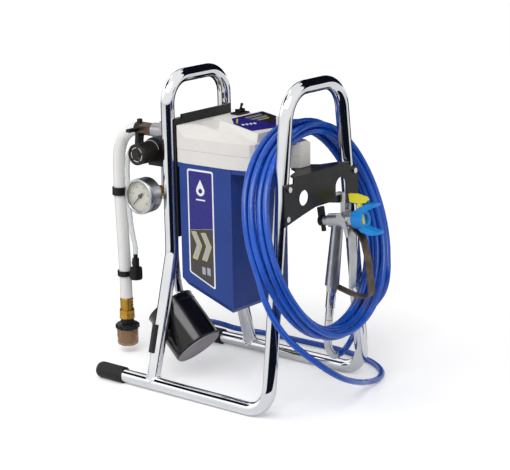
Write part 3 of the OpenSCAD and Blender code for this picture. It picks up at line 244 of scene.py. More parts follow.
def ringOf(item, count, place, material, start=0.0, step=None):
    # Geometry Nodes: copies of the item turned about the place's z
    global ringTree
    if ringTree is None:
        ringTree = bpy.data.node_groups.new("ring_of_items", "GeometryNodeTree")
        face = ringTree.interface
        face.new_socket("Geometry", in_out="INPUT", socket_type="NodeSocketGeometry")
        face.new_socket("Count", in_out="INPUT", socket_type="NodeSocketInt")
        face.new_socket("Start", in_out="INPUT", socket_type="NodeSocketFloat")
        face.new_socket("Step", in_out="INPUT", socket_type="NodeSocketFloat")
        face.new_socket("Material", in_out="INPUT", socket_type="NodeSocketMaterial")
        face.new_socket("Geometry", in_out="OUTPUT", socket_type="NodeSocketGeometry")
        n, l = ringTree.nodes, ringTree.links
        source, out = n.new("NodeGroupInput"), n.new("NodeGroupOutput")
        line, index = n.new("GeometryNodeMeshLine"), n.new("GeometryNodeInputIndex")
        line.inputs["Offset"].default_value = (0, 0, 0)
        turn, add, angles = n.new("ShaderNodeMath"), n.new("ShaderNodeMath"), n.new("ShaderNodeCombineXYZ")
        turn.operation = "MULTIPLY"
        instance, real = n.new("GeometryNodeInstanceOnPoints"), n.new("GeometryNodeRealizeInstances")
        paint = n.new("GeometryNodeSetMaterial")
        l.new(source.outputs["Count"], line.inputs["Count"])
        l.new(index.outputs[0], turn.inputs[0])
        l.new(source.outputs["Step"], turn.inputs[1])
        l.new(turn.outputs[0], add.inputs[0])
        l.new(source.outputs["Start"], add.inputs[1])
        l.new(add.outputs[0], angles.inputs["Z"])
        l.new(line.outputs["Mesh"], instance.inputs["Points"])
        l.new(source.outputs["Geometry"], instance.inputs["Instance"])
        l.new(angles.outputs[0], instance.inputs["Rotation"])
        l.new(instance.outputs["Instances"], real.inputs["Geometry"])
        l.new(real.outputs["Geometry"], paint.inputs["Geometry"])
        l.new(source.outputs["Material"], paint.inputs["Material"])
        l.new(paint.outputs["Geometry"], out.inputs["Geometry"])
    modifier = item.modifiers.new("ring", "NODES")
    modifier.node_group = ringTree
    ids = {s.name: s.identifier for s in ringTree.interface.items_tree if s.in_out == "INPUT"}
    modifier[ids["Count"]] = count
    modifier[ids["Start"]] = math.radians(start)
    modifier[ids["Step"]] = math.radians(step if step is not None else 360 / count)
    modifier[ids["Material"]] = material
    applied(item)
    item.data.transform(place)
    return item


def lettering(name, text, size, place, material):
    curve = bpy.data.curves.new(name, "FONT")
    curve.body = text
    curve.size = size * mm
    curve.extrude = 0.02 * mm
    curve.align_x, curve.align_y = "CENTER", "CENTER"
    piece = bpy.data.objects.new(name, curve)
    bpy.context.scene.collection.objects.link(piece)
    bpy.context.view_layer.update()
    mesh = bpy.data.meshes.new_from_object(piece.evaluated_get(bpy.context.evaluated_depsgraph_get()))
    bpy.data.objects.remove(piece)
    mesh.transform(place)
    return linkMesh(name, mesh, material, smooth=False)


# camera

def makeCamera():
    eye, aim, roll = vec(1910.9, -2364.3, 1059.6), vec(14, 0, 291.45), math.radians(-1.10)
    forward = (aim - eye).normalized()
    right = forward.cross(Vector((0, 0, 1))).normalized()
    up = right.cross(forward)
    right, up = right * math.cos(roll) + up * math.sin(roll), up * math.cos(roll) - right * math.sin(roll)
    data = bpy.data.cameras.new("camera")
    data.lens, data.sensor_width, data.sensor_fit = 118.16, 36, "HORIZONTAL"
    data.clip_end = 30
    camera = bpy.data.objects.new("camera", data)
    matrix = Matrix((right, up, -forward)).transposed().to_4x4()
    matrix.translation = eye
    camera.matrix_world = matrix
    bpy.context.scene.collection.objects.link(camera)
    bpy.context.scene.camera = camera


makeCamera()
say("camera")


# cord routes, the same points as in the part's source

hoseR, suctionR, drainR = 5.7, 12.3, 5.0
coil = {"x": 156, "y": 7, "z": 322, "radius": 190, "inward": 13.4, "layers": 4, "layerStep": 14.2,
        "wraps": 1.275, "crossing": 0.5, "start": -25, "narrow": 15, "lean": 66, "sag": 14, "bow": 3,
        "turns": 6.6, "steps": 475}


def coilPoint(turn, c=coil):
    # spiral layers, wound inwards and outwards by turns, each crossing over to the next one
    length = c["wraps"] + c["crossing"]
    layer = min(math.floor(turn / length), c["layers"] - 1)
    part = turn - layer * length
    climb = max(0, part - c["wraps"]) / c["crossing"] if layer < c["layers"] - 1 else 0
    wound = min(part, c["wraps"])
    r = c["radius"] - c["inward"] * (wound if layer % 2 == 0 else c["wraps"] - wound)
    a = math.radians(c["start"] + 360 * turn)
    up = math.sin(a)
    droop = c["sag"] * up ** 3 + c["bow"] * up * up - c["lean"] * up
    middle = (c["layers"] - 1) / 2
    return Vector((c["x"] + droop - c["layerStep"] * (layer - middle + climb),
                   c["y"] + (r - c["narrow"]) * math.cos(a) + c["narrow"] * up, c["z"] + r * up))


def smoothed(points, n):
    points = [Vector(p) for p in points]
    out = []
    for i in range(len(points) - 1):
        a, b = points[max(i - 1, 0)], points[i]
        c, d = points[i + 1], points[min(i + 2, len(points) - 1)]
        for k in range(n):
            t = k / n
            out.append(0.5 * (2 * b + (c - a) * t + (2 * a - 5 * b + 4 * c - d) * t * t
                              + (3 * b - a - 3 * c + d) * t ** 3))
    return out + [points[-1]]


coilTurns = coil["turns"]
coilIn = (coilPoint(0.01) - coilPoint(0)).normalized()
coilOut = (coilPoint(coilTurns) - coilPoint(coilTurns - 0.01)).normalized()
endGap = 0.35
pumpRoute = [coilPoint(coilTurns) + endGap * coilOut, coilPoint(coilTurns) + 11.4 * coilOut] + [
    (159, -168, 254), (166, -168, 234), (177, -163, 206), (190, -154, 178), (203, -142, 155),
    (215, -125, 134), (229, -101, 110), (239, -72, 86), (243, -36, 64), (233, 18, 41), (214, 74, 21),
    (202, 125, 9), (187, 165, 6.5), (165, 190, 6.5), (132, 212, 6.5), (90, 227, 6.5), (45, 237, 6.5),
    (-3, 241, 6.5), (-64, 241, 6.5), (-120, 241, 6.5), (-160, 239, 6.5), (-192, 230, 8), (-214, 212, 14),
    (-225, 188, 26), (-227, 160, 38), (-222, 128, 50), (-213, 94, 64), (-202, 60, 84), (-190, 28, 112),
    (-178, 0, 150), (-169, -18, 195), (-165, -25, 240), (-165, -25, 285), (-165, -25, 311.65)]
gunRoute = [(140.9, 58, 134.7), (138.6, 58, 115.2), (136.3, 59.9, 95.9), (133.6, 66.3, 77.6),
            (130.8, 77.8, 62.1), (127.9, 94, 51.7), (125.5, 113.1, 48.4), (124.2, 132, 52.8),
            (124.7, 148.1, 63.7), (128, 159.8, 79.1), (134.4, 166.7, 96.2), (144.1, 169.4, 112.9),
            (156.3, 168.6, 128.2), (169.6, 165.4, 142.3), (182.8, 160.8, 156), (195.2, 155.3, 170.6),
            (205, 150.6, 187), (210.2, 149, 205.6), (210.3, 151.3, 224.3), coilPoint(0) - endGap * coilIn]
suctionRoute = [(-226.35, 0, 466.5), (-242, 0, 466.5), (-264, 0, 466.5), (-290, 0, 460), (-311, 0, 444),
                (-323, 0, 420), (-327, 0, 390), (-327, 0, 340), (-325, 0, 280), (-323, 0, 220),
                (-321.3, 0, 160), (-321, 0, 132), (-321, 0, 114.35)]
drainRoute = [(-188.35, -15, 440), (-203, -15, 440), (-236, -14, 440), (-268, -12, 432), (-290, -8, 415),
              (-302, -3, 390), (-306, 0, 360), (-306, 0, 330), (-304, 0, 295), (-299, 0, 255),
              (-292.4, 0, 225), (-292, 0, 209.35)]


def pathLength(points):
    return sum((b - a).length for a, b in zip(points, points[1:]))


gunPath = smoothed(gunRoute, 8)
pumpPath = smoothed(pumpRoute, 8)
coilPath = [coilPoint(coilTurns * i / coil["steps"]) for i in range(coil["steps"] + 1)]
hosePath = [p * mm for p in (gunPath[:-1] + coilPath[1:-1] + pumpPath[1:])[::-1]]
suctionPath = [p * mm for p in smoothed(suctionRoute, 8)]
drainPath = [p * mm for p in smoothed(drainRoute, 8)]


# materials

def linear(code):
    values = [int(code[i:i + 2], 16) / 255 for i in (1, 3, 5)]
    return tuple(v / 12.92 if v <= 0.04045 else ((v + 0.055) / 1.055) ** 2.4 for v in values) + (1.0,)


def feed(tree, node, inputs):
    # a socket is linked, any other value is set
    for key, value in inputs.items():
        if isinstance(value, bpy.types.NodeSocket):
            tree.links.new(value, node.inputs[key])
        else:
            node.inputs[key].default_value = value


def addNode(tree, kind, inputs=None, **settings):
    node = tree.nodes.new("ShaderNode" + kind)
    for key, value in settings.items():
        setattr(node, key, value)
    feed(tree, node, inputs or {})
    return node


def newMaterial(name, inputs):
    material = bpy.data.materials.new(name)
    material.use_nodes = True
    tree = material.node_tree
    shader = tree.nodes["Principled BSDF"]
    feed(tree, shader, inputs)
    return material, tree, shader


def grain(tree, scale, detail=3.0, rough=0.5, stretch=None):
    # scale counts spots to the metre, so 2500 is a grain of 0.4 mm
    place = addNode(tree, "TexCoord").outputs["Object"]
    if stretch:
        place = addNode(tree, "Mapping", {"Vector": place, "Scale": stretch}).outputs[0]
    texture = addNode(tree, "TexNoise", {"Vector": place, "Scale": scale, "Detail": detail,
                                         "Roughness": rough})
    return texture.outputs["Fac"]


def twoTone(tree, pattern, low, high):
    # each of low and high is a place on the pattern and the colour there
    node = addNode(tree, "ValToRGB", {"Fac": pattern})
    for element, (at, code) in zip(node.color_ramp.elements, (low, high)):
        element.position = at
        element.color = linear(code)
    return node.outputs["Color"]


def mottled(tree, base, other, scale):
    return twoTone(tree, grain(tree, scale, 4, 0.55), (0.35, base), (0.65, other))


def unevenGloss(tree, pattern, low, high, top=0.7):
    return addNode(tree, "MapRange", {"Value": pattern, "From Min": 0.3, "From Max": top, "To Min": low,
                                      "To Max": high}).outputs[0]


def chromePlate(name, tint="#e9eaec", rough=(0.03, 0.09)):
    material, tree, shader = newMaterial(name, {"Metallic": 1.0})
    drawMarks = grain(tree, 260, 4, 0.6, (1, 1, 0.15))
    ripple = addNode(tree, "Bump", {"Height": grain(tree, 45, 2), "Distance": 0.03 * mm, "Strength": 0.5})
    feed(tree, shader, {"Base Color": mottled(tree, tint, "#dfe1e4", 18),
                        "Roughness": unevenGloss(tree, drawMarks, *rough, 0.75), "Normal": ripple.outputs[0]})
    return material


def machined(name, base, other, rough=(0.16, 0.34), stretch=(1, 1, 6), scale=900):
    material, tree, shader = newMaterial(name, {"Metallic": 1.0})
    toolMarks = grain(tree, scale, 3, 0.6, stretch)
    cuts = addNode(tree, "Bump", {"Height": toolMarks, "Distance": 0.04 * mm, "Strength": 0.5})
    feed(tree, shader, {"Base Color": mottled(tree, base, other, 60),
                        "Roughness": unevenGloss(tree, toolMarks, *rough), "Normal": cuts.outputs[0]})
    return material


def moulded(name, base, other, rough=(0.34, 0.5), spots=2600, depth=0.05, coat=0.0):
    material, tree, shader = newMaterial(name, {"Coat Weight": coat, "Coat Roughness": 0.15,
                                                "Specular IOR Level": 0.3})
    skin = addNode(tree, "Bump", {"Height": grain(tree, spots, 2), "Distance": depth * mm, "Strength": 0.6})
    feed(tree, shader, {"Base Color": mottled(tree, base, other, 9),
                        "Roughness": unevenGloss(tree, grain(tree, 40), *rough), "Normal": skin.outputs[0]})
    return material


def clearPlastic(name, colour, rough, weight):
    material, tree, shader = newMaterial(name, {"Base Color": linear(colour), "Transmission Weight": weight,
                                                "IOR": 1.45})
    waves = addNode(tree, "Bump", {"Height": grain(tree, 350, 2), "Distance": 0.06 * mm, "Strength": 0.4})
    feed(tree, shader, {"Roughness": unevenGloss(tree, grain(tree, 60), rough * 0.8, rough * 1.3),
                        "Normal": waves.outputs[0]})
    return material


def woundWaves(tree, starts, perMetre):
    # two waves that wind round the hose in opposite senses, on the hose's own map
    parts = addNode(tree, "SeparateXYZ", {"Vector": addNode(tree, "UVMap", uv_map="tube").outputs[0]})
    around = addNode(tree, "Math", {0: parts.outputs["X"], 1: math.tau * starts},
                     operation="MULTIPLY").outputs[0]
    along = addNode(tree, "Math", {0: parts.outputs["Y"], 1: perMetre}, operation="MULTIPLY").outputs[0]
    waves = []
    for sense in ("ADD", "SUBTRACT"):
        angle = addNode(tree, "Math", {0: around, 1: along}, operation=sense).outputs[0]
        waves.append(addNode(tree, "Math", {0: angle}, operation="SINE").outputs[0])
    return waves


def hoseJacket():
    material, tree, shader = newMaterial("hoseJacket_extrudedNylon", {
        "Coat Weight": 0.3, "Coat Roughness": 0.04, "Specular IOR Level": 0.4})
    one, other = woundWaves(tree, 12, 1300.0)
    braid = addNode(tree, "Math", {0: one, 1: other}, operation="MULTIPLY").outputs[0]
    telegraph = addNode(tree, "Bump", {"Height": braid, "Distance": 0.04 * mm, "Strength": 0.15})
    feed(tree, shader, {"Base Color": mottled(tree, "#0a45a6", "#0e52bc", 14),
                        "Roughness": unevenGloss(tree, grain(tree, 90), 0.16, 0.3),
                        "Normal": telegraph.outputs[0]})
    return material


def braidedHose():
    material, tree, shader = newMaterial("suctionHose_braidedPvc", {
        "Roughness": 0.3, "Coat Weight": 0.4, "Coat Roughness": 0.12, "Subsurface Weight": 0.35,
        "Subsurface Scale": 0.004, "Subsurface Radius": (1, 1, 1)})
    strands = [addNode(tree, "MapRange", {"Value": wave, "From Min": 0.55, "From Max": 0.95}).outputs[0]
               for wave in woundWaves(tree, 11, 1150.0)]
    braid = addNode(tree, "Math", {0: strands[0], 1: strands[1]}, operation="MAXIMUM").outputs[0]
    weave = addNode(tree, "Bump", {"Height": braid, "Distance": 0.18 * mm, "Strength": 0.4})
    feed(tree, shader, {"Base Color": twoTone(tree, braid, (0.1, "#dcdcda"), (0.9, "#f6f5f2")),
                        "Normal": weave.outputs[0]})
    return material


def wovenFilm(name):
    material, tree, shader = newMaterial(name, {"Roughness": 0.3, "Coat Weight": 0.6, "Coat Roughness": 0.1})
    place = addNode(tree, "TexCoord").outputs["Object"]
    checker = addNode(tree, "TexChecker", {"Vector": place, "Scale": 420.0, "Color1": linear("#2c2423"),
                                           "Color2": linear("#1a1414")})
    feed(tree, shader, {"Base Color": checker.outputs["Color"]})
    return material


def printed(name, colour, rough=0.3, coat=0.2, metallic=0.0):
    material, tree, shader = newMaterial(name, {
        "Base Color": linear(colour), "Coat Weight": coat, "Coat Roughness": 0.12, "Metallic": metallic,
        "Specular IOR Level": 0.3})
    grit = addNode(tree, "Bump", {"Height": grain(tree, 500, 2), "Distance": 0.01 * mm, "Strength": 0.4})
    feed(tree, shader, {"Roughness": unevenGloss(tree, grain(tree, 120), rough * 0.85, rough * 1.2),
                        "Normal": grit.outputs[0]})
    return material


# mirror-bright plating: hard edges between light and dark, a little blurred by the marks of drawing
chrome = chromePlate("frameTube_polishedChrome")
# thin grey plating: soft highlights that set the bolts off from the paint
zinc = chromePlate("fastener_zincPlate", "#d4d6d8", (0.14, 0.28))
# plating between the two: clear highlights that are wider than the tube's
nickel = chromePlate("fitting_nickelPlate", "#d0d1d2", (0.08, 0.2))
# turned and left satin: broad grey bands round the case
stainless = machined("gaugeCase_turnedStainless", "#c5c7c9", "#b4b6b9", (0.28, 0.4))
# tumbled casting: an even silky grey with no mirror image
alloy = machined("gun_satinAlloy", "#c9cacc", "#b8babc", (0.28, 0.42), (1, 1, 1), 500)
# milled block: flat faces that go dull at their edges
casting = machined("manifold_millAlloy", "#b7b9bb", "#a3a5a8", (0.3, 0.46), (1, 1, 1), 1400)
# anodised strap: a dark brown grey that keeps a metal's sheen
darkAlloy = machined("guard_anodisedAlloy", "#77695c", "#5b5048", (0.3, 0.5), (1, 1, 1), 1800)
# hobbed and oiled: dark grey with sharp small lights
gearSteel = machined("gear_oiledSteel", "#8f9092", "#7c7d80", (0.25, 0.4))
# fresh turned brass: warm yellow with fine rings of light
brass = machined("ferrule_turnedBrass", "#caa04a", "#b98a35", (0.14, 0.3))
# handled bronze: brown patches, with the shine only in part
bronze = machined("primeValve_agedBronze", "#77604d", "#54433a", (0.24, 0.4))
# varnished winding: red brown with a soft gloss
copper = machined("rotor_varnishedCopper", "#a5652f", "#8a4f22", (0.3, 0.5))
# baked powder: near black, with a fine orange peel that spreads each light
blackPaint = moulded("bracket_blackPowderCoat", "#121214", "#18181b", (0.3, 0.42), 1500, 0.06, 0.1)
# sprayed paint: an even deep blue with a faint sheen
tubBlue = moulded("tub_bluePaint", "#17367e", "#1a3d8b", (0.3, 0.42), 1200, 0.03, 0.1)
# satin moulding: a warm grey without highlights, so that the edges read by shade
coverGrey = moulded("cover_satinAbs", "#d9d6d2", "#e0ddd9", (0.4, 0.52), 2400, 0.06)
# satin nylon: black with a soft edge of light
satinBlack = moulded("fitting_satinNylon", "#0f0f10", "#17171a", (0.3, 0.42), 2200, 0.06)
# spark-eroded grip: a warm black, dull between its ribs
gripBlack = moulded("knob_texturedNylon", "#1a1615", "#241e1c", (0.34, 0.5), 900, 0.12)
# polished mould: black with long clear highlights down the cup
glossBlack = moulded("dripCup_glossPolypropylene", "#0d0b0b", "#141110", (0.12, 0.2), 2400, 0.02, 0.4)
# painted reflection: the cup's underside is given the floor's lilac grey as its colour, in place of the gloss
# black that would mirror the floor, and kept matt so it shows no light of its own
cupBase = moulded("dripCup_paintedFloorReflection", "#8a8388", "#96909a", (0.42, 0.55), 1800, 0.06)
# moulded rubber: flat black that swallows highlights
rubber = moulded("footCap_mouldedRubber", "#151515", "#1f1f1f", (0.46, 0.62), 1400, 0.1)
# dipped motor case: plain dark grey
motorGrey = moulded("motor_greyPaint", "#3a3b3e", "#303134", (0.35, 0.5), 1400)
# solder mask: dark green with a wet look
boardGreen = moulded("board_solderMask", "#174a2b", "#1d5a35", (0.25, 0.35), 600)
# dyed nylon: a bright even blue, slightly waxy
guardBlue = moulded("tipGuard_mouldedNylon", "#1286d6", "#1a92e2", (0.28, 0.4), 2000, 0.05, 0.15)
# dyed nylon: a bright yellow, slightly waxy
tipYellow = moulded("tipHandle_mouldedNylon", "#ece334", "#e2d82b", (0.3, 0.42), 2000, 0.05, 0.1)
# nylon over a braid: one narrow light along each loop, broken by the braid underneath
jacket = hoseJacket()
# white braid in clear PVC: crossing pale strands under a soft gloss, drawn coarser than real ones to show
braided = braidedHose()
# thin clear PVC: bright edges with the background through the middle
clearTube = clearPlastic("drainTube_clearPvc", "#eef1f1", 0.12, 0.7)
# tinted nylon: a cloudy brown that lets the screen show through
amber = clearPlastic("strainerBowl_amberNylon", "#d9b48c", 0.28, 0.8)
# moulded window: nearly unseen, with a thin light at its rim
lensGlass = clearPlastic("gaugeLens_polycarbonate", "#ffffff", 0.03, 1.0)
# woven wire: a dull warm grey behind the bowl
screenMesh = machined("strainer_wovenScreen", "#8c8a84", "#73716c", (0.3, 0.5))
# printed card: a matt cream that keeps the marks readable
dialWhite = printed("dial_printedCard", "#efecdf", 0.4, 0.2)
# screen ink: matt black
inkBlack = printed("dial_blackInk", "#161616", 0.4, 0.1)
# dyed film: a deep even indigo with a light skin of gloss
labelField = printed("label_indigoFilm", "#211d78")
# patterned film: brown black with a small chequer, drawn as coarse as it needs to show
labelDark = wovenFilm("label_wovenPatternFilm")
# opaque ink: clean white edges
labelWhite = printed("label_whiteInk", "#e9e9ec")
# metal flake ink: a grey that lightens and darkens with the angle
labelSilver = printed("label_silverInk", "#a9abb3", 0.25, 0.5, 0.4)
# opaque ink: a muted yellow line
labelYellow = printed("label_yellowInk", "#cbb944")
say("materials")


# cords first

hose = sweep("fluidHose", hosePath, hoseR * mm, 20, jacket)
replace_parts(hose, "hose_coil", "hose_pump_end", "hose_gun_end")
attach(hose, "root")
suction = sweep("suctionHose", suctionPath, suctionR * mm, 48, braided)
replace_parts(suction, "suction_hose")
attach(suction, "root")
drain = sweep("drainTube", drainPath, drainR * mm, 24, clearTube)
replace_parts(drain, "drain_tube")
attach(drain, "root")
say("cords")


# fitting helpers

def fitted(piece, body, slot, *nodes):
    if nodes:
        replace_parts(piece, *nodes)
    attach(piece, body)
    return piece


def dressed(node, material, body, slot, width=0.8, segments=3, angle=28):
    piece = softened(node, width, segments, angle)
    piece.data.materials.clear()
    piece.data.materials.append(material)
    return fitted(piece, body, slot)


def filleted(corners, radii):
    # the corners of a bent tube joined by true arcs, in mm
    degrees, longest = 4.0, 25
    corners = [Vector(c) for c in corners]
    out = [corners[0]]
    for before, corner, after, radius in zip(corners, corners[1:], corners[2:], radii):
        u, v = (before - corner).normalized(), (after - corner).normalized()
        turn = math.pi - u.angle(v)
        run = radius * math.tan(turn / 2)
        centre = corner + (u + v).normalized() * (radius / math.cos(turn / 2))
        start, end = corner + u * run - centre, corner + v * run - centre
        count = max(4, int(math.degrees(turn) / degrees))
        axis = start.cross(end).normalized()
        for i in range(count + 1):
            out.append(centre + Matrix.Rotation(turn * i / count, 3, axis) @ start)
    out.append(corners[-1])
    spread = []
    for a, b in zip(out, out[1:]):
        count = max(1, round((b - a).length / longest))
        spread += [a.lerp(b, i / count) for i in range(count)]
    return spread + [out[-1]]


# frame tubes

frameTube = {"radius": 12.7, "frontX": 155, "rearX": -121.3, "topZ": 586.6, "skidHalf": 148.5,
             "topHalf": 77.8, "rearHalf": 81.8, "kneeZ": 257, "footZ": 15.06, "skidBend": 46, "topBend": 57,
             "rearBend": 50, "kneeBend": 60, "skidRise": 0.588, "skidLength": 357, "sides": 64, "bead": 1.9}


def makeFrame(s):
    rise = math.radians(s["skidRise"])
    skid = Vector((-math.cos(rise), 0, math.sin(rise)))
    r = s["radius"]

    def half(side):
        start = Vector((s["frontX"] - s["skidBend"], side * s["skidHalf"], r))
        foot = Vector((s["frontX"], side * s["skidHalf"], r - s["skidBend"] * math.tan(rise)))
        return [start + skid * s["skidLength"], foot, Vector((s["frontX"], side * s["topHalf"], s["topZ"]))]

    route = half(-1) + half(1)[::-1]
    bends = [s["skidBend"], s["topBend"], s["topBend"], s["skidBend"]]
    path = [p * mm for p in filleted(route, bends)]
    fitted(sweep("frontFrameTube", path, r * mm, s["sides"], chrome), "root", "frame_chrome",
           "front_frame_tube")

    def rearHalf(side):
        return [Vector((s["rearX"], side * s["skidHalf"], s["footZ"])),
                Vector((s["rearX"], side * s["rearHalf"], s["kneeZ"])),
                Vector((s["rearX"], side * s["rearHalf"], s["topZ"]))]

    route = rearHalf(-1) + rearHalf(1)[::-1]
    bends = [s["kneeBend"], s["rearBend"], s["rearBend"], s["kneeBend"]]
    path = [p * mm for p in filleted(route, bends)]
    hoop = [sweep("rearHoop", path, r * mm, s["sides"], chrome)]
    for side in (-1, 1):
        foot, knee = rearHalf(side)[:2]
        leg = (knee - foot).normalized()
        a = (skid - leg * skid.dot(leg)).normalized()
        b = leg.cross(a)
        across = leg - skid * leg.dot(skid)
        bead, sizes = [], []
        for i in range(97):
            t = 2 * math.pi * i / 96
            v = (a * math.cos(t) + b * math.sin(t)) * r
            flat = v - skid * v.dot(skid)
            # how far up the leg this side of it leaves the skid
            slope, square = flat.dot(across), across.dot(across)
            reach = (-slope + math.sqrt(max(0, slope ** 2 - square * (flat.dot(flat) - r * r)))) / square
            bead.append((foot + v * 1.02 + leg * (reach + 0.4)) * mm)
            sizes.append((s["bead"] + 0.3 * math.sin(t * 24) + random.uniform(-0.12, 0.12)) * mm)
        hoop.append(sweep("bead", bead, s["bead"] * mm, 10, chrome, radii=sizes))
    fitted(joined("rearHoop", hoop, chrome), "root", "frame_chrome", "rear_hoop")
    caps = []
    for side in (-1, 1):
        place = axes(vec(s["frontX"] - s["skidBend"], side * s["skidHalf"], r), skid)
        profile = [(12.75, 304), (12.75, 302.4), (13.2, 302), (15.2, 302), (15.8, 302.8), (15.8, 307),
                   (15.3, 307.6), (15.3, 309), (15.8, 309.6), (15.8, 358), (15.5, 361), (14.7, 363.8),
                   (13.3, 366), (11.4, 367.4), (9, 368), (8.4, 368), (7.8, 367.4), (0, 367.4)]
        caps.append(lathe("cap", profile, place, rubber, 64))
    fitted(joined("footCaps", caps, rubber), "root", "cap_rubber", "foot_caps")


makeFrame(frameTube)
dressed("front_bracket", blackPaint, "root", "bracket_paint", 0.8)
dressed("rear_bracket", blackPaint, "root", "bracket_paint", 0.9)
dressed("fasteners", zinc, "root", "bolt_steel", 0.5, 2)
say("frame")


# housing

dressed("motor_shroud", tubBlue, "root", "tub_plastic", 1.6, 4, 18)
dressed("lower_cover", coverGrey, "root", "cover_plastic", 0.9, 3, 25)
dressed("top_cover", coverGrey, "root", "cover_plastic", 1.3, 4, 14)
labels = {"side": -83.0, "film": 0.4, "print": 0.1, "panelX": -22, "panelZ": 512.5, "lean": 10.0}


def inside(outline, t):
    # the outline moved inwards by t
    points = [Vector(p) for p in outline]
    area = sum(a.x * b.y - b.x * a.y for a, b in zip(points, points[1:] + points[:1]))
    turn = 1 if area > 0 else -1
    out = []
    for a, b, c in zip(points[-1:] + points[:-1], points, points[1:] + points[:1]):
        n1, n2 = ((Vector((-(q - p).y, (q - p).x)) * turn).normalized() for p, q in ((a, b), (b, c)))
        out.append(b + (n1 + n2) * (t / (1 + n1.dot(n2))))
    return [tuple(p) for p in out]


def film(name, outline, place, level, material):
    low = level * labels["print"]
    return prism(name, outline, place, low, low + labels["print"], material)


def makeSideLabel(s):
    place = axes(vec(0, s["side"] - s["film"], 0), (0, -1, 0), (1, 0, 0))
    outline = [(-74, 423), (-18, 423), (-15, 420), (-15, 202), (-18, 200.5), (-74, 224), (-77, 227),
               (-77, 420)]
    pieces = [prism("base", outline, place, -s["film"], 0, labelWhite)]
    upper = [(-72, 419.5), (-20, 419.5), (-18, 417.5), (-18, 315), (-74, 307), (-74, 417.5)]
    lower = [(-74, 306.6), (-18, 314.6), (-18, 205), (-20, 204), (-72, 226), (-74, 228)]
    pieces += [film("field", upper, place, 0, labelField), film("wedge", lower, place, 0, labelDark)]
    # a plain paint drop, two chevrons and bars stand for the printed words
    drop = [(-46, 405)] + [(-46 + 10 * math.cos(a), 384 + 10 * math.sin(a))
                           for a in [math.radians(x) for x in range(155, 386, 15)]]
    pieces.append(film("drop", drop, place, 1, labelWhite))
    pieces.append(film("core", [(-46 + 4.6 * math.cos(a), 383.5 + 4.6 * math.sin(a))
                                for a in [math.radians(x) for x in range(0, 360, 20)]], place, 2, labelField))
    pieces.append(film("bar", [(-57, 368), (-35, 368), (-35, 365.4), (-57, 365.4)], place, 1, labelWhite))
    for x in (-71, -48):
        chevron = [(x, 304), (x + 12, 305.6), (x + 26, 280), (x + 14, 251), (x + 2, 253), (x + 13, 280)]
        pieces.append(film("edge", chevron, place, 1, labelYellow))
        pieces.append(film("chevron", inside(chevron, 1.5), place, 2, labelSilver))
    for x in (-46, -34):
        pieces.append(film("bar", [(x, 240), (x + 8, 238), (x + 8, 224), (x, 226)], place, 1, labelSilver))
    fitted(joined("sideLabel", pieces), "root", "label_film", "side_label")


def makeTopLabel(s):
    lean = math.radians(s["lean"])
    place = axes(vec(s["panelX"], 0, s["panelZ"]), (math.sin(lean), 0, math.cos(lean)), (0, 1, 0))
    outline = [(-22, -4), (-45, -28), (-47.5, -73), (12, -82.5), (70, -36), (70, -4)]
    pieces = [prism("base", outline, place, 0, s["film"], labelField)]
    top = axes(place @ (Vector((0, 0, s["film"])) * mm), place.col[2].to_3d(), (0, 1, 0))
    pieces.append(film("dark", [(-14, -6), (68, -6), (68, -36), (20, -70), (22, -30)], top, 0, labelDark))
    pieces.append(film("band", [(4, -24), (56, -24), (52, -31), (12, -31)], top, 1, labelSilver))
    pieces.append(film("strip", [(14, -35), (50, -35), (46, -38), (18, -38)], top, 1, labelYellow))
    pieces.append(film("rim", [(-38, -28), (-16, -10), (-14, -12.5), (-36, -30)], top, 1, labelYellow))
    for i in range(5):
        y = 6 + i * 9.5
        pieces.append(film("block", [(y, -12), (y + 7, -12), (y + 7, -20), (y, -20)], top, 1, labelSilver))
    for i in range(4):
        y = -36 + i * 9
        pieces.append(film("block", [(y, -38 - i * 2), (y + 6.5, -36 - i * 2), (y + 6.5, -42 - i * 2),
                                     (y, -44 - i * 2)], top, 0, labelWhite))
    fitted(joined("topLabel", pieces), "root", "label_film", "top_label")


makeSideLabel(labels)
makeTopLabel(labels)
dressed("switch_body", satinBlack, "root", "black_plastic", 0.6)
dressed("switch_lever", satinBlack, "switch", "black_plastic", 0.3)
say("housing")


# drive and pump, most of it out of sight

def coat(material, *nodes):
    for node in nodes:
        for place in cadNodes[node].material_slots:
            place.material = material


coat(casting, "gear_case", "gear_plate")
coat(motorGrey, "motor_case")
coat(copper, "motor_rotor")
coat(satinBlack, "cooling_fan")
coat(gearSteel, "bearings", "idler_gear", "crank_gear", "yoke_and_rod", "inlet_ball", "gun_needle")
coat(boardGreen, "control_board")
coat(nickel, "pump_cylinder")
coat(brass, "packing_gland")
coat(screenMesh, "outlet_filter")
dressed("manifold", casting, "root", "cast_aluminium", 1.6, 3)
dressed("filter_cap", nickel, "root", "plated_steel", 0.7, 2)
dressed("outlet_fitting", nickel, "root", "plated_steel", 0.6, 2)
dressed("pressure_transducer", stainless, "root", "motor_steel", 0.6, 2)
dressed("knob_housing", satinBlack, "root", "black_plastic", 1.4)
valve = dressed("prime_valve", bronze, "root", "brass", 0.7)
valve.data.materials.append(casting)
castNeck = vec(-203.5, 0, 455)  # its rear lower edge, next to the manifold
for face in valve.data.polygons:
    face.material_index = int(face.center.x > castNeck.x and face.center.z > castNeck.z)
dressed("valve_handle", gripBlack, "valve_lever", "black_plastic", 1.1)
dressed("inlet_fitting", bronze, "root", "brass", 0.7)
say("pump")


# pressure knob

knob = {"x": -164, "back": -85.3, "z": 445.5, "radius": 20, "length": 41.4, "ribs": 72, "recess": 2.4,
        "dashes": 5, "dash": 52, "ring": 13.2, "boss": 7.4}


def arcBand(inner, outer, start, end):
    # flat outline of a printed arc
    step = 4
    count = max(2, round((end - start) / step))
    angles = [math.radians(start + (end - start) * i / count) for i in range(count + 1)]
    return [(math.cos(a) * outer, math.sin(a) * outer) for a in angles] + [
        (math.cos(a) * inner, math.sin(a) * inner) for a in angles[::-1]]


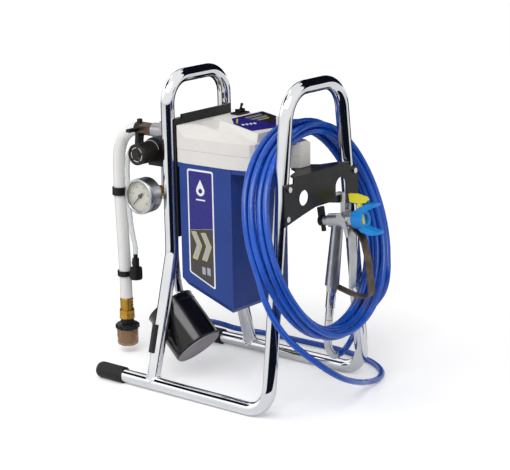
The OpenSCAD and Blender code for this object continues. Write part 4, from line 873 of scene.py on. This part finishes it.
def makeKnob(s):
    place = axes(vec(s["x"], s["back"], s["z"]), (0, -1, 0), (1, 0, 0))
    r, h, deep = s["radius"], s["length"], s["length"] - s["recess"]
    profile = [(0, -25.5), (5, -25.5), (5, 0), (18.6, 0), (19.2, 0.8), (19.2, h - 9), (19.7, h - 8),
               (r, h - 7), (r, h - 1.4), (r - 0.9, h - 0.2), (r - 2, h), (r - 4, h), (r - 4.6, h - 0.5),
               (r - 5, deep), (0, deep)]
    body = lathe("knobBody", profile, place, gripBlack, 96)
    rib = brick("rib", (18.8, -0.42, 1.2), (19.75, 0.42, h - 9), gripBlack, 0.25)
    ribs = ringOf(rib, s["ribs"], place, gripBlack)
    boss = prism("boss", hexagon(s["boss"], 10), place, deep - 0.2, h - 0.7, gripBlack, 0.7)
    fitted(joined("pressureKnob", [body, ribs, boss]), "knob", "black_plastic", "pressure_knob")
    level = deep + 0.02
    step = 360 / s["dashes"]
    dashes = []
    for i in range(s["dashes"]):
        start = 20 + i * step
        band = arcBand(s["ring"] - 0.55, s["ring"] + 0.55, start, start + s["dash"])
        dashes.append(prism("dash", band, place, level, level + 0.06, labelWhite))
    spot = place @ Matrix.Translation(vec(6.8, -5.4, 0))
    dashes.append(prism("spot", hexagon(0.6), spot, h - 0.7, h - 0.64, labelWhite))
    fitted(joined("knobMarks", dashes, labelWhite), "knob", "dial_card")
    ring = prism("knobRing", arcBand(r + 0.7, r + 1.4, 15, 110), place, -0.28, -0.22, labelWhite)
    fitted(ring, "root", "dial_card")


makeKnob(knob)


# pressure gauge

gauge = {"x": -164, "back": -92, "z": 365.3, "radius": 34, "depth": 32.7, "dial": 23.7, "lens": 28.7,
         "hex": 11}


def makeGauge(s):
    place = axes(vec(s["x"], s["back"], s["z"]), (0, -1, 0), (1, 0, 0))
    r, h = s["radius"], s["depth"]
    profile = [(0, 0), (r - 5, 0), (r - 2.6, 0.8), (r - 1, 2.4), (r - 0.6, 5), (r - 0.6, h - 9.5),
               (r, h - 8.6), (r, h - 3.4), (r - 0.3, h - 1.6), (r - 1.1, h - 0.5), (r - 2.4, h),
               (r - 4, h - 0.1), (r - 4.8, h - 0.8), (r - 5, h - 2), (31, h - 2), (31, 3), (0, 3)]
    case = lathe("gaugeCase", profile, place, stainless, 128)
    stem = lathe("stem", [(0, 47), (7, 47), (7, 38), (8.5, 37.4), (8.5, 26.6), (7, 26), (7, 1), (9, 0),
                          (0, 0)],
                 axes(vec(s["x"], s["back"], s["z"]), (0, 1, 0), (1, 0, 0)), brass, 48)
    flats = prism("flats", hexagon(s["hex"]), axes(vec(s["x"], -66, s["z"]), (0, 1, 0), (1, 0, 0)), 0, 12,
                  brass, 0.7)
    fitted(case, "root", "plated_steel", "gauge_case")
    fitted(joined("gaugeStem", [stem, flats], brass), "root", "brass")
    dial = lathe("gaugeDial", [(0, 4), (6, 4), (6, 22.7), (30.9, 22.7), (30.9, 23.5), (30.4, s["dial"]),
                               (0, s["dial"])], place, dialWhite, 96)
    fitted(dial, "root", "dial_card", "gauge_dial")
    low = s["dial"] + 0.01
    minor = brick("minor", (25.2, -0.2, low), (27.6, 0.2, low + 0.08), inkBlack, 0)
    major = brick("major", (23, -0.4, low), (27.6, 0.4, low + 0.08), inkBlack, 0)
    start, sweepTurn = 225, -270
    pieces = [ringOf(minor, 51, place, inkBlack, start, sweepTurn / 50),
              ringOf(major, 6, place, inkBlack, start, sweepTurn / 5)]
    for radius, width in ((27.9, 0.35), (22.4, 0.25)):
        angles = [math.radians(start + sweepTurn * i / 60) for i in range(61)]
        outline = [(radius * math.cos(a), radius * math.sin(a)) for a in angles]
        outline += [((radius - width) * math.cos(a), (radius - width) * math.sin(a)) for a in angles[::-1]]
        pieces.append(prism("arc", outline, place, low, low + 0.08, inkBlack))
    for i in range(6):
        a = math.radians(start + sweepTurn * i / 5)
        spot = place @ Matrix.Translation(vec(18.6 * math.cos(a), 18.6 * math.sin(a), low))
        pieces.append(lettering("number", str(i * 10), 4.6, spot, inkBlack))
    fitted(joined("dialMarks", pieces, inkBlack), "root", "dial_card")
    hub = lathe("hub", [(0, 12), (1.5, 12), (1.5, 24.6), (4, 25.2), (4, 26.4), (3.4, 27.2), (1.5, 27.5),
                        (0, 27.5)],
                place, inkBlack, 40)
    outline = [(-8, -1.7), (-8, 1.7), (-6.5, 2.1), (0, 1.1), (24, 0.35), (24.6, 0), (24, -0.35), (0, -1.1),
               (-6.5, -2.1)]
    resting = place @ Matrix.Rotation(math.radians(start), 4, "Z")
    hand = prism("hand", outline, resting, 25.4, 26.4, inkBlack, 0.15)
    fitted(joined("gaugeNeedle", [hub, hand], inkBlack), "needle", "black_plastic", "gauge_needle")
    lens = lathe("gaugeLens", [(0, s["lens"]), (30.9, s["lens"]), (30.9, 30.6), (28.4, 30.6), (20, 31),
                               (10, 31.3), (0, 31.4)], place, lensGlass, 96)
    fitted(lens, "root", "clear_lens", "gauge_lens")


makeGauge(gauge)
say("knob and gauge")


# suction set

strainer = {"x": -321, "ferrule": 13.3, "nut": 17, "wings": 8, "bowl": 21.25, "ribs": 12,
            "screen": 15.5, "bowlLow": 15.3}


def makeStrainer(s):
    place = axes(vec(s["x"], 0, 0), (0, 0, 1), (1, 0, 0))
    f = s["ferrule"]
    profile = [(7, 114), (12.6, 114), (f, 113.2), (f, 110)]
    for z in (107.5, 101.5, 95.5):
        profile += [(f, z + 2), (f - 0.9, z + 1.2), (f - 0.9, z - 1.2), (f, z - 2)]
    profile += [(f, 92.6), (12.6, 92), (11.4, 92), (11.4, 88), (7, 88), (7, 114)]
    ferrule = lathe("ferrule", profile, place, brass, 72)
    nuts = []
    for low, high in ((72, 80), (80.8, 89)):
        nut = prism("nut", hexagon(s["nut"], 12), place, low, high, brass, 0.9)
        nuts.append(nut)
    collar = lathe("collar", [(7, 71.8), (15.2, 71.8), (15.2, 72.6), (14.4, 89.2), (7, 89.2), (7, 71.8)],
                   place, brass)
    onHose = [fitted(joined("hoseCoupling", [ferrule, collar] + nuts, brass), "root", "brass",
                     "hose_coupling")]
    stem = lathe("stem", [(6, 72), (12.4, 72), (13, 71.4), (13, 66.5), (14.2, 65.9), (14.2, 64.3),
                          (13, 63.7), (13, 61), (14.5, 60), (21, 60), (22.6, 59.2), (22.6, 51.2), (21.6, 50),
                          (9, 50), (9, 30.6), (8.4, 30), (6, 30), (6, 72)], place, satinBlack, 72)
    wing = prism("wing", [(19, -5.2), (23.4, -4.4), (24.3, -3), (24.3, 3), (23.4, 4.4), (19, 5.2)],
                 Matrix.Identity(4), 50.8, 59.4, satinBlack, 0.8)
    wings = ringOf(wing, s["wings"], place, satinBlack)
    onHose.append(fitted(joined("strainerStem", [stem, wings], satinBlack), "root", "black_plastic",
                         "strainer_stem"))
    b = s["bowl"]
    bowl = lathe("strainerBowl", [(0, s["bowlLow"]), (13, s["bowlLow"]), (16.6, 15.9), (19.4, 17.6),
                                  (20.9, 20.2), (b, 23), (b, 45.6), (b + 0.5, 46), (b + 0.5, 49.4),
                                  (b, 49.9), (b - 1.9, 49.9), (b - 2, 49.4), (b - 2, 24), (18.2, 20.8),
                                  (16, 18.9), (13, 18), (0, 18)],
                 place, amber, 96)
    onHose.append(fitted(bowl, "root", "amber_plastic", "strainer_bowl"))
    rib = brick("rib", (15.9, -0.7, 21), (19.2, 0.7, 48.6), amber, 0.3)
    rib.name = "bowlRibs"
    onHose.append(fitted(ringOf(rib, s["ribs"], place, amber), "root", "amber_plastic"))
    wires = []
    q = s["screen"]
    for i in range(9):
        z = 22.5 + 3.1 * i
        ring = [(place @ (Vector((q * math.cos(a), q * math.sin(a), z)) * mm))
                for a in [2 * math.pi * k / 48 for k in range(49)]]
        wires.append(sweep("wire", ring, 0.45 * mm, 6, screenMesh, caps=False))
    bar = brick("bar", (q - 0.5, -0.45, 21), (q + 0.4, 0.45, 49), screenMesh, 0.2)
    wires.append(ringOf(bar, 36, place, screenMesh))
    backing = lathe("backing", [(q - 1.1, 21), (q - 0.7, 21), (q - 0.7, 49), (q - 1.1, 49), (q - 1.1, 21)],
                    place, screenMesh, 48)
    onHose.append(fitted(joined("strainerScreen", wires + [backing], screenMesh), "root", "bolt_steel"))
    onDrain = [dressed("drain_diffuser", satinBlack, "root", "black_plastic", 0.6)]
    slit = brick("slit", (11.6, -0.8, 159), (12.6, 0.8, 178), satinBlack, 0.3)
    slit.name = "diffuserRibs"
    onDrain.append(fitted(ringOf(slit, 16, axes(vec(-292, 0, 0), (0, 0, 1), (1, 0, 0)), satinBlack), "root",
                          "black_plastic"))
    return onHose, onDrain


onSuction, onDrain = makeStrainer(strainer)
say("suction set")


# drip cup

cup = {"centre": (-124.4, -50, 101.5), "radius": 48, "half": 50.5, "wall": 2, "tilt": 45, "base": 46}


def makeCup(s):
    tilt = math.radians(s["tilt"])
    place = axes(vec(*s["centre"]), (-math.sin(tilt), 0, math.cos(tilt)), (0, 1, 0))
    r, h, w = s["radius"], s["half"], s["wall"]
    profile = [(0, -h), (42, -h), (42.6, -h + 0.5), (44.5, -h + 0.5), (46.4, -h + 1.3), (47.6, -h + 3.2),
               (r, -h + 6), (r, h - 16), (r + 0.5, h - 15.4), (r + 0.5, h - 13.4), (r, h - 12.8),
               (r, h - 3.4), (r + 0.6, h - 2.8), (r + 0.6, h - 0.6), (r, h), (r - w, h), (r - w, -h + 7),
               (44.4, -h + 3.4), (42, -h + w), (0, -h + w)]
    shell = lathe("shell", profile, place, glossBlack, 128)
    side = s["centre"][1] - r
    boss = lathe("boss", [(4.1, -6), (8, -6), (8, 4.2), (7.2, 5), (4.1, 5), (4.1, -6)],
                 axes(vec(s["centre"][0], side, s["centre"][2]), (0, -1, 0), (1, 0, 0)), glossBlack, 48)
    fitted(joined("dripCup", [shell, boss], glossBlack), "cup", "black_plastic", "drip_cup")
    b = s["base"]
    # the base disc carries the painted reflection of the floor, a flat lilac grey instead of a mirror image
    disc = lathe("cupBase", [(0, -h + 0.1), (44, -h + 0.1), (b, -h + 0.9), (b, -h - 0.5),
                             (b - 0.7, -h - 0.9), (b - 7, -h - 0.9), (b - 7.6, -h - 0.4), (b - 10, -h - 0.4),
                             (b - 10.6, -h - 0.9), (0, -h - 0.9)],
                 place, cupBase, 96)
    fitted(disc, "cup", "black_plastic")


makeCup(cup)
dressed("cup_holder", satinBlack, "root", "black_plastic", 0.9)
say("drip cup")


# hose guards and gun

def makeHoseGuards(s):
    guard = pumpPath[-33:]
    length = pathLength(guard)
    perTurn = 14
    steps = int(length / s["pitch"]) * perTurn
    turned, marks, at = [], [0.0], 0
    for a, b in zip(guard, guard[1:]):
        marks.append(marks[-1] + (b - a).length)
    normal = Vector((1, 0, 0))
    for i in range(steps + 1):
        d = length * i / steps
        while at < len(guard) - 2 and marks[at + 1] < d:
            at += 1
        a, b = guard[at], guard[at + 1]
        heading = (b - a).normalized()
        normal = (normal - heading * normal.dot(heading)).normalized()
        t = (d - marks[at]) / max(marks[at + 1] - marks[at], 1e-6)
        turn = 2 * math.pi * i / perTurn
        outwards = normal * math.cos(turn) + heading.cross(normal) * math.sin(turn)
        turned.append((a.lerp(b, t) + s["coil"] * outwards) * mm)
    spring = sweep("spring", turned, s["wire"] * mm, 6, nickel)
    sleeve = sweep("sleeve", [p * mm for p in gunPath[:41]], s["sleeve"] * mm, 32, nickel)
    return fitted(joined("hoseGuards", [spring, sleeve], nickel), "root", "plated_steel", "hose_guards")


hoseGuards = {"pitch": 2.5, "coil": 7.0, "wire": 1.0, "sleeve": 7.6}
onHose = [makeHoseGuards(hoseGuards)]
dressed("gun_body", alloy, "root", "gun_alloy", 1.1, 4)
dressed("gun_trigger", alloy, "trigger", "gun_alloy", 0.9)
dressed("trigger_guard", darkAlloy, "root", "guard_alloy", 0.8)
dressed("trigger_lock", satinBlack, "lock_lever", "gun_alloy", 0.8)
dressed("gun_swivel", nickel, "swivel", "plated_steel", 0.8)
dressed("tip_guard", guardBlue, "guard", "tip_guard_plastic", 1.2, 4)
dressed("spray_tip", tipYellow, "tip", "tip_plastic", 0.9)
say("gun")


# light and floor

def lamp(name, kind, energy, place, aim, **settings):
    data = bpy.data.lights.new(name, kind)
    data.energy = energy
    for key, value in settings.items():
        setattr(data, key, value)
    item = bpy.data.objects.new(name, data)
    item.location = place
    item.rotation_euler = (Vector(aim) - Vector(place)).to_track_quat("-Z", "Y").to_euler()
    bpy.context.scene.collection.objects.link(item)
    return item


def makeStudio(s):
    bpy.context.scene.view_settings.view_transform = "Standard"
    world = bpy.data.worlds.new("studio")
    bpy.context.scene.world = world
    world.use_nodes = True
    tree = world.node_tree
    back = tree.nodes["Background"]
    rays = addNode(tree, "LightPath")
    seen = addNode(tree, "Math", {0: rays.outputs["Is Camera Ray"], 1: rays.outputs["Is Glossy Ray"]},
                   operation="MAXIMUM")
    seen = addNode(tree, "Math", {0: seen.outputs[0], 1: rays.outputs["Is Transmission Ray"]},
                   operation="MAXIMUM")
    back.inputs["Color"].default_value = (1, 1, 1, 1)
    strength = addNode(tree, "MapRange", {"Value": seen.outputs[0], "To Min": s["world"], "To Max": 1.0})
    tree.links.new(strength.outputs[0], back.inputs["Strength"])
    mesh = bpy.data.meshes.new("floor")
    size = s["floor"]
    mesh.from_pydata([(-size, -size, 0), (size, -size, 0), (size, size, 0), (-size, size, 0)], [],
                     [(0, 1, 2, 3)])
    # matt white board: takes the soft shadow and gives no glare
    material, tree, shader = newMaterial("floor_paleBoard", {
        "Base Color": linear(s["floorColour"]), "Roughness": 0.6, "Specular IOR Level": 0,
        "Emission Color": (1, 1, 1, 1)})
    rays = addNode(tree, "LightPath")
    glow = addNode(tree, "Math", {0: rays.outputs["Is Camera Ray"], 1: s["floorGlow"]},
                   operation="MULTIPLY").outputs[0]
    tree.links.new(glow, shader.inputs["Emission Strength"])
    linkMesh("floor", mesh, material, smooth=False)
    lamp("key", "SUN", s["key"], (1.6, -2.4, 3.4), (0, 0, 0.2), angle=math.radians(35))
    lamp("fill", "SUN", s["fill"], (-2.5, -1.0, 2.0), (0, 0, 0.2), angle=math.radians(60))
    soft = lamp("softbox", "AREA", s["softbox"], (-0.6, -2.2, 2.6), (0, 0, 0.3), shape="RECTANGLE", size=1.6,
                size_y=1.0)
    soft.visible_camera = False
    # dark cards overhead and dark mats on the floor, seen only by polished metal
    dark = newMaterial("card_navyFelt", {"Base Color": linear(s["cardColour"]), "Roughness": 1.0,
                                         "Specular IOR Level": 0})[0]
    verts, faces = [], []
    for dome, patches in ((True, s["cards"]), (False, s["mats"])):
        for start, end, low, high in patches:
            base = len(verts)
            for i in range(9):
                a = math.radians(start + (end - start) * i / 8)
                for k in range(5):
                    t = low + (high - low) * k / 4
                    flat = 4 * math.cos(math.radians(t)) if dome else t
                    rise = 0.3 + 4 * math.sin(math.radians(t)) if dome else 0.003
                    verts.append((flat * math.cos(a), flat * math.sin(a), rise))
            faces += [(base + 5 * i + k, base + 5 * i + 5 + k, base + 5 * i + 6 + k, base + 5 * i + 1 + k)
                      for i in range(8) for k in range(4)]
    mesh = bpy.data.meshes.new("cards")
    mesh.from_pydata(verts, [], faces)
    cards = linkMesh("cards", mesh, dark, smooth=False)
    for ray in ("camera", "diffuse", "transmission", "volume_scatter", "shadow"):
        setattr(cards, "visible_" + ray, False)


studio = {"world": 0.5, "floor": 14, "floorColour": "#f1f1f2", "floorGlow": 0.25, "key": 1.3, "fill": 0.35,
          "softbox": 18, "cardColour": "#10141f",
          # from and to in degrees round the object, then degrees up the dome, or metres out on the floor
          "cards": [(180, 224, 32, 54), (40, 126, 6, 60), (126, 146, -3, 34)],
          "mats": [(-84, 28, 0.42, 6), (66, 190, 0.42, 6)]}
makeStudio(studio)
say("studio")
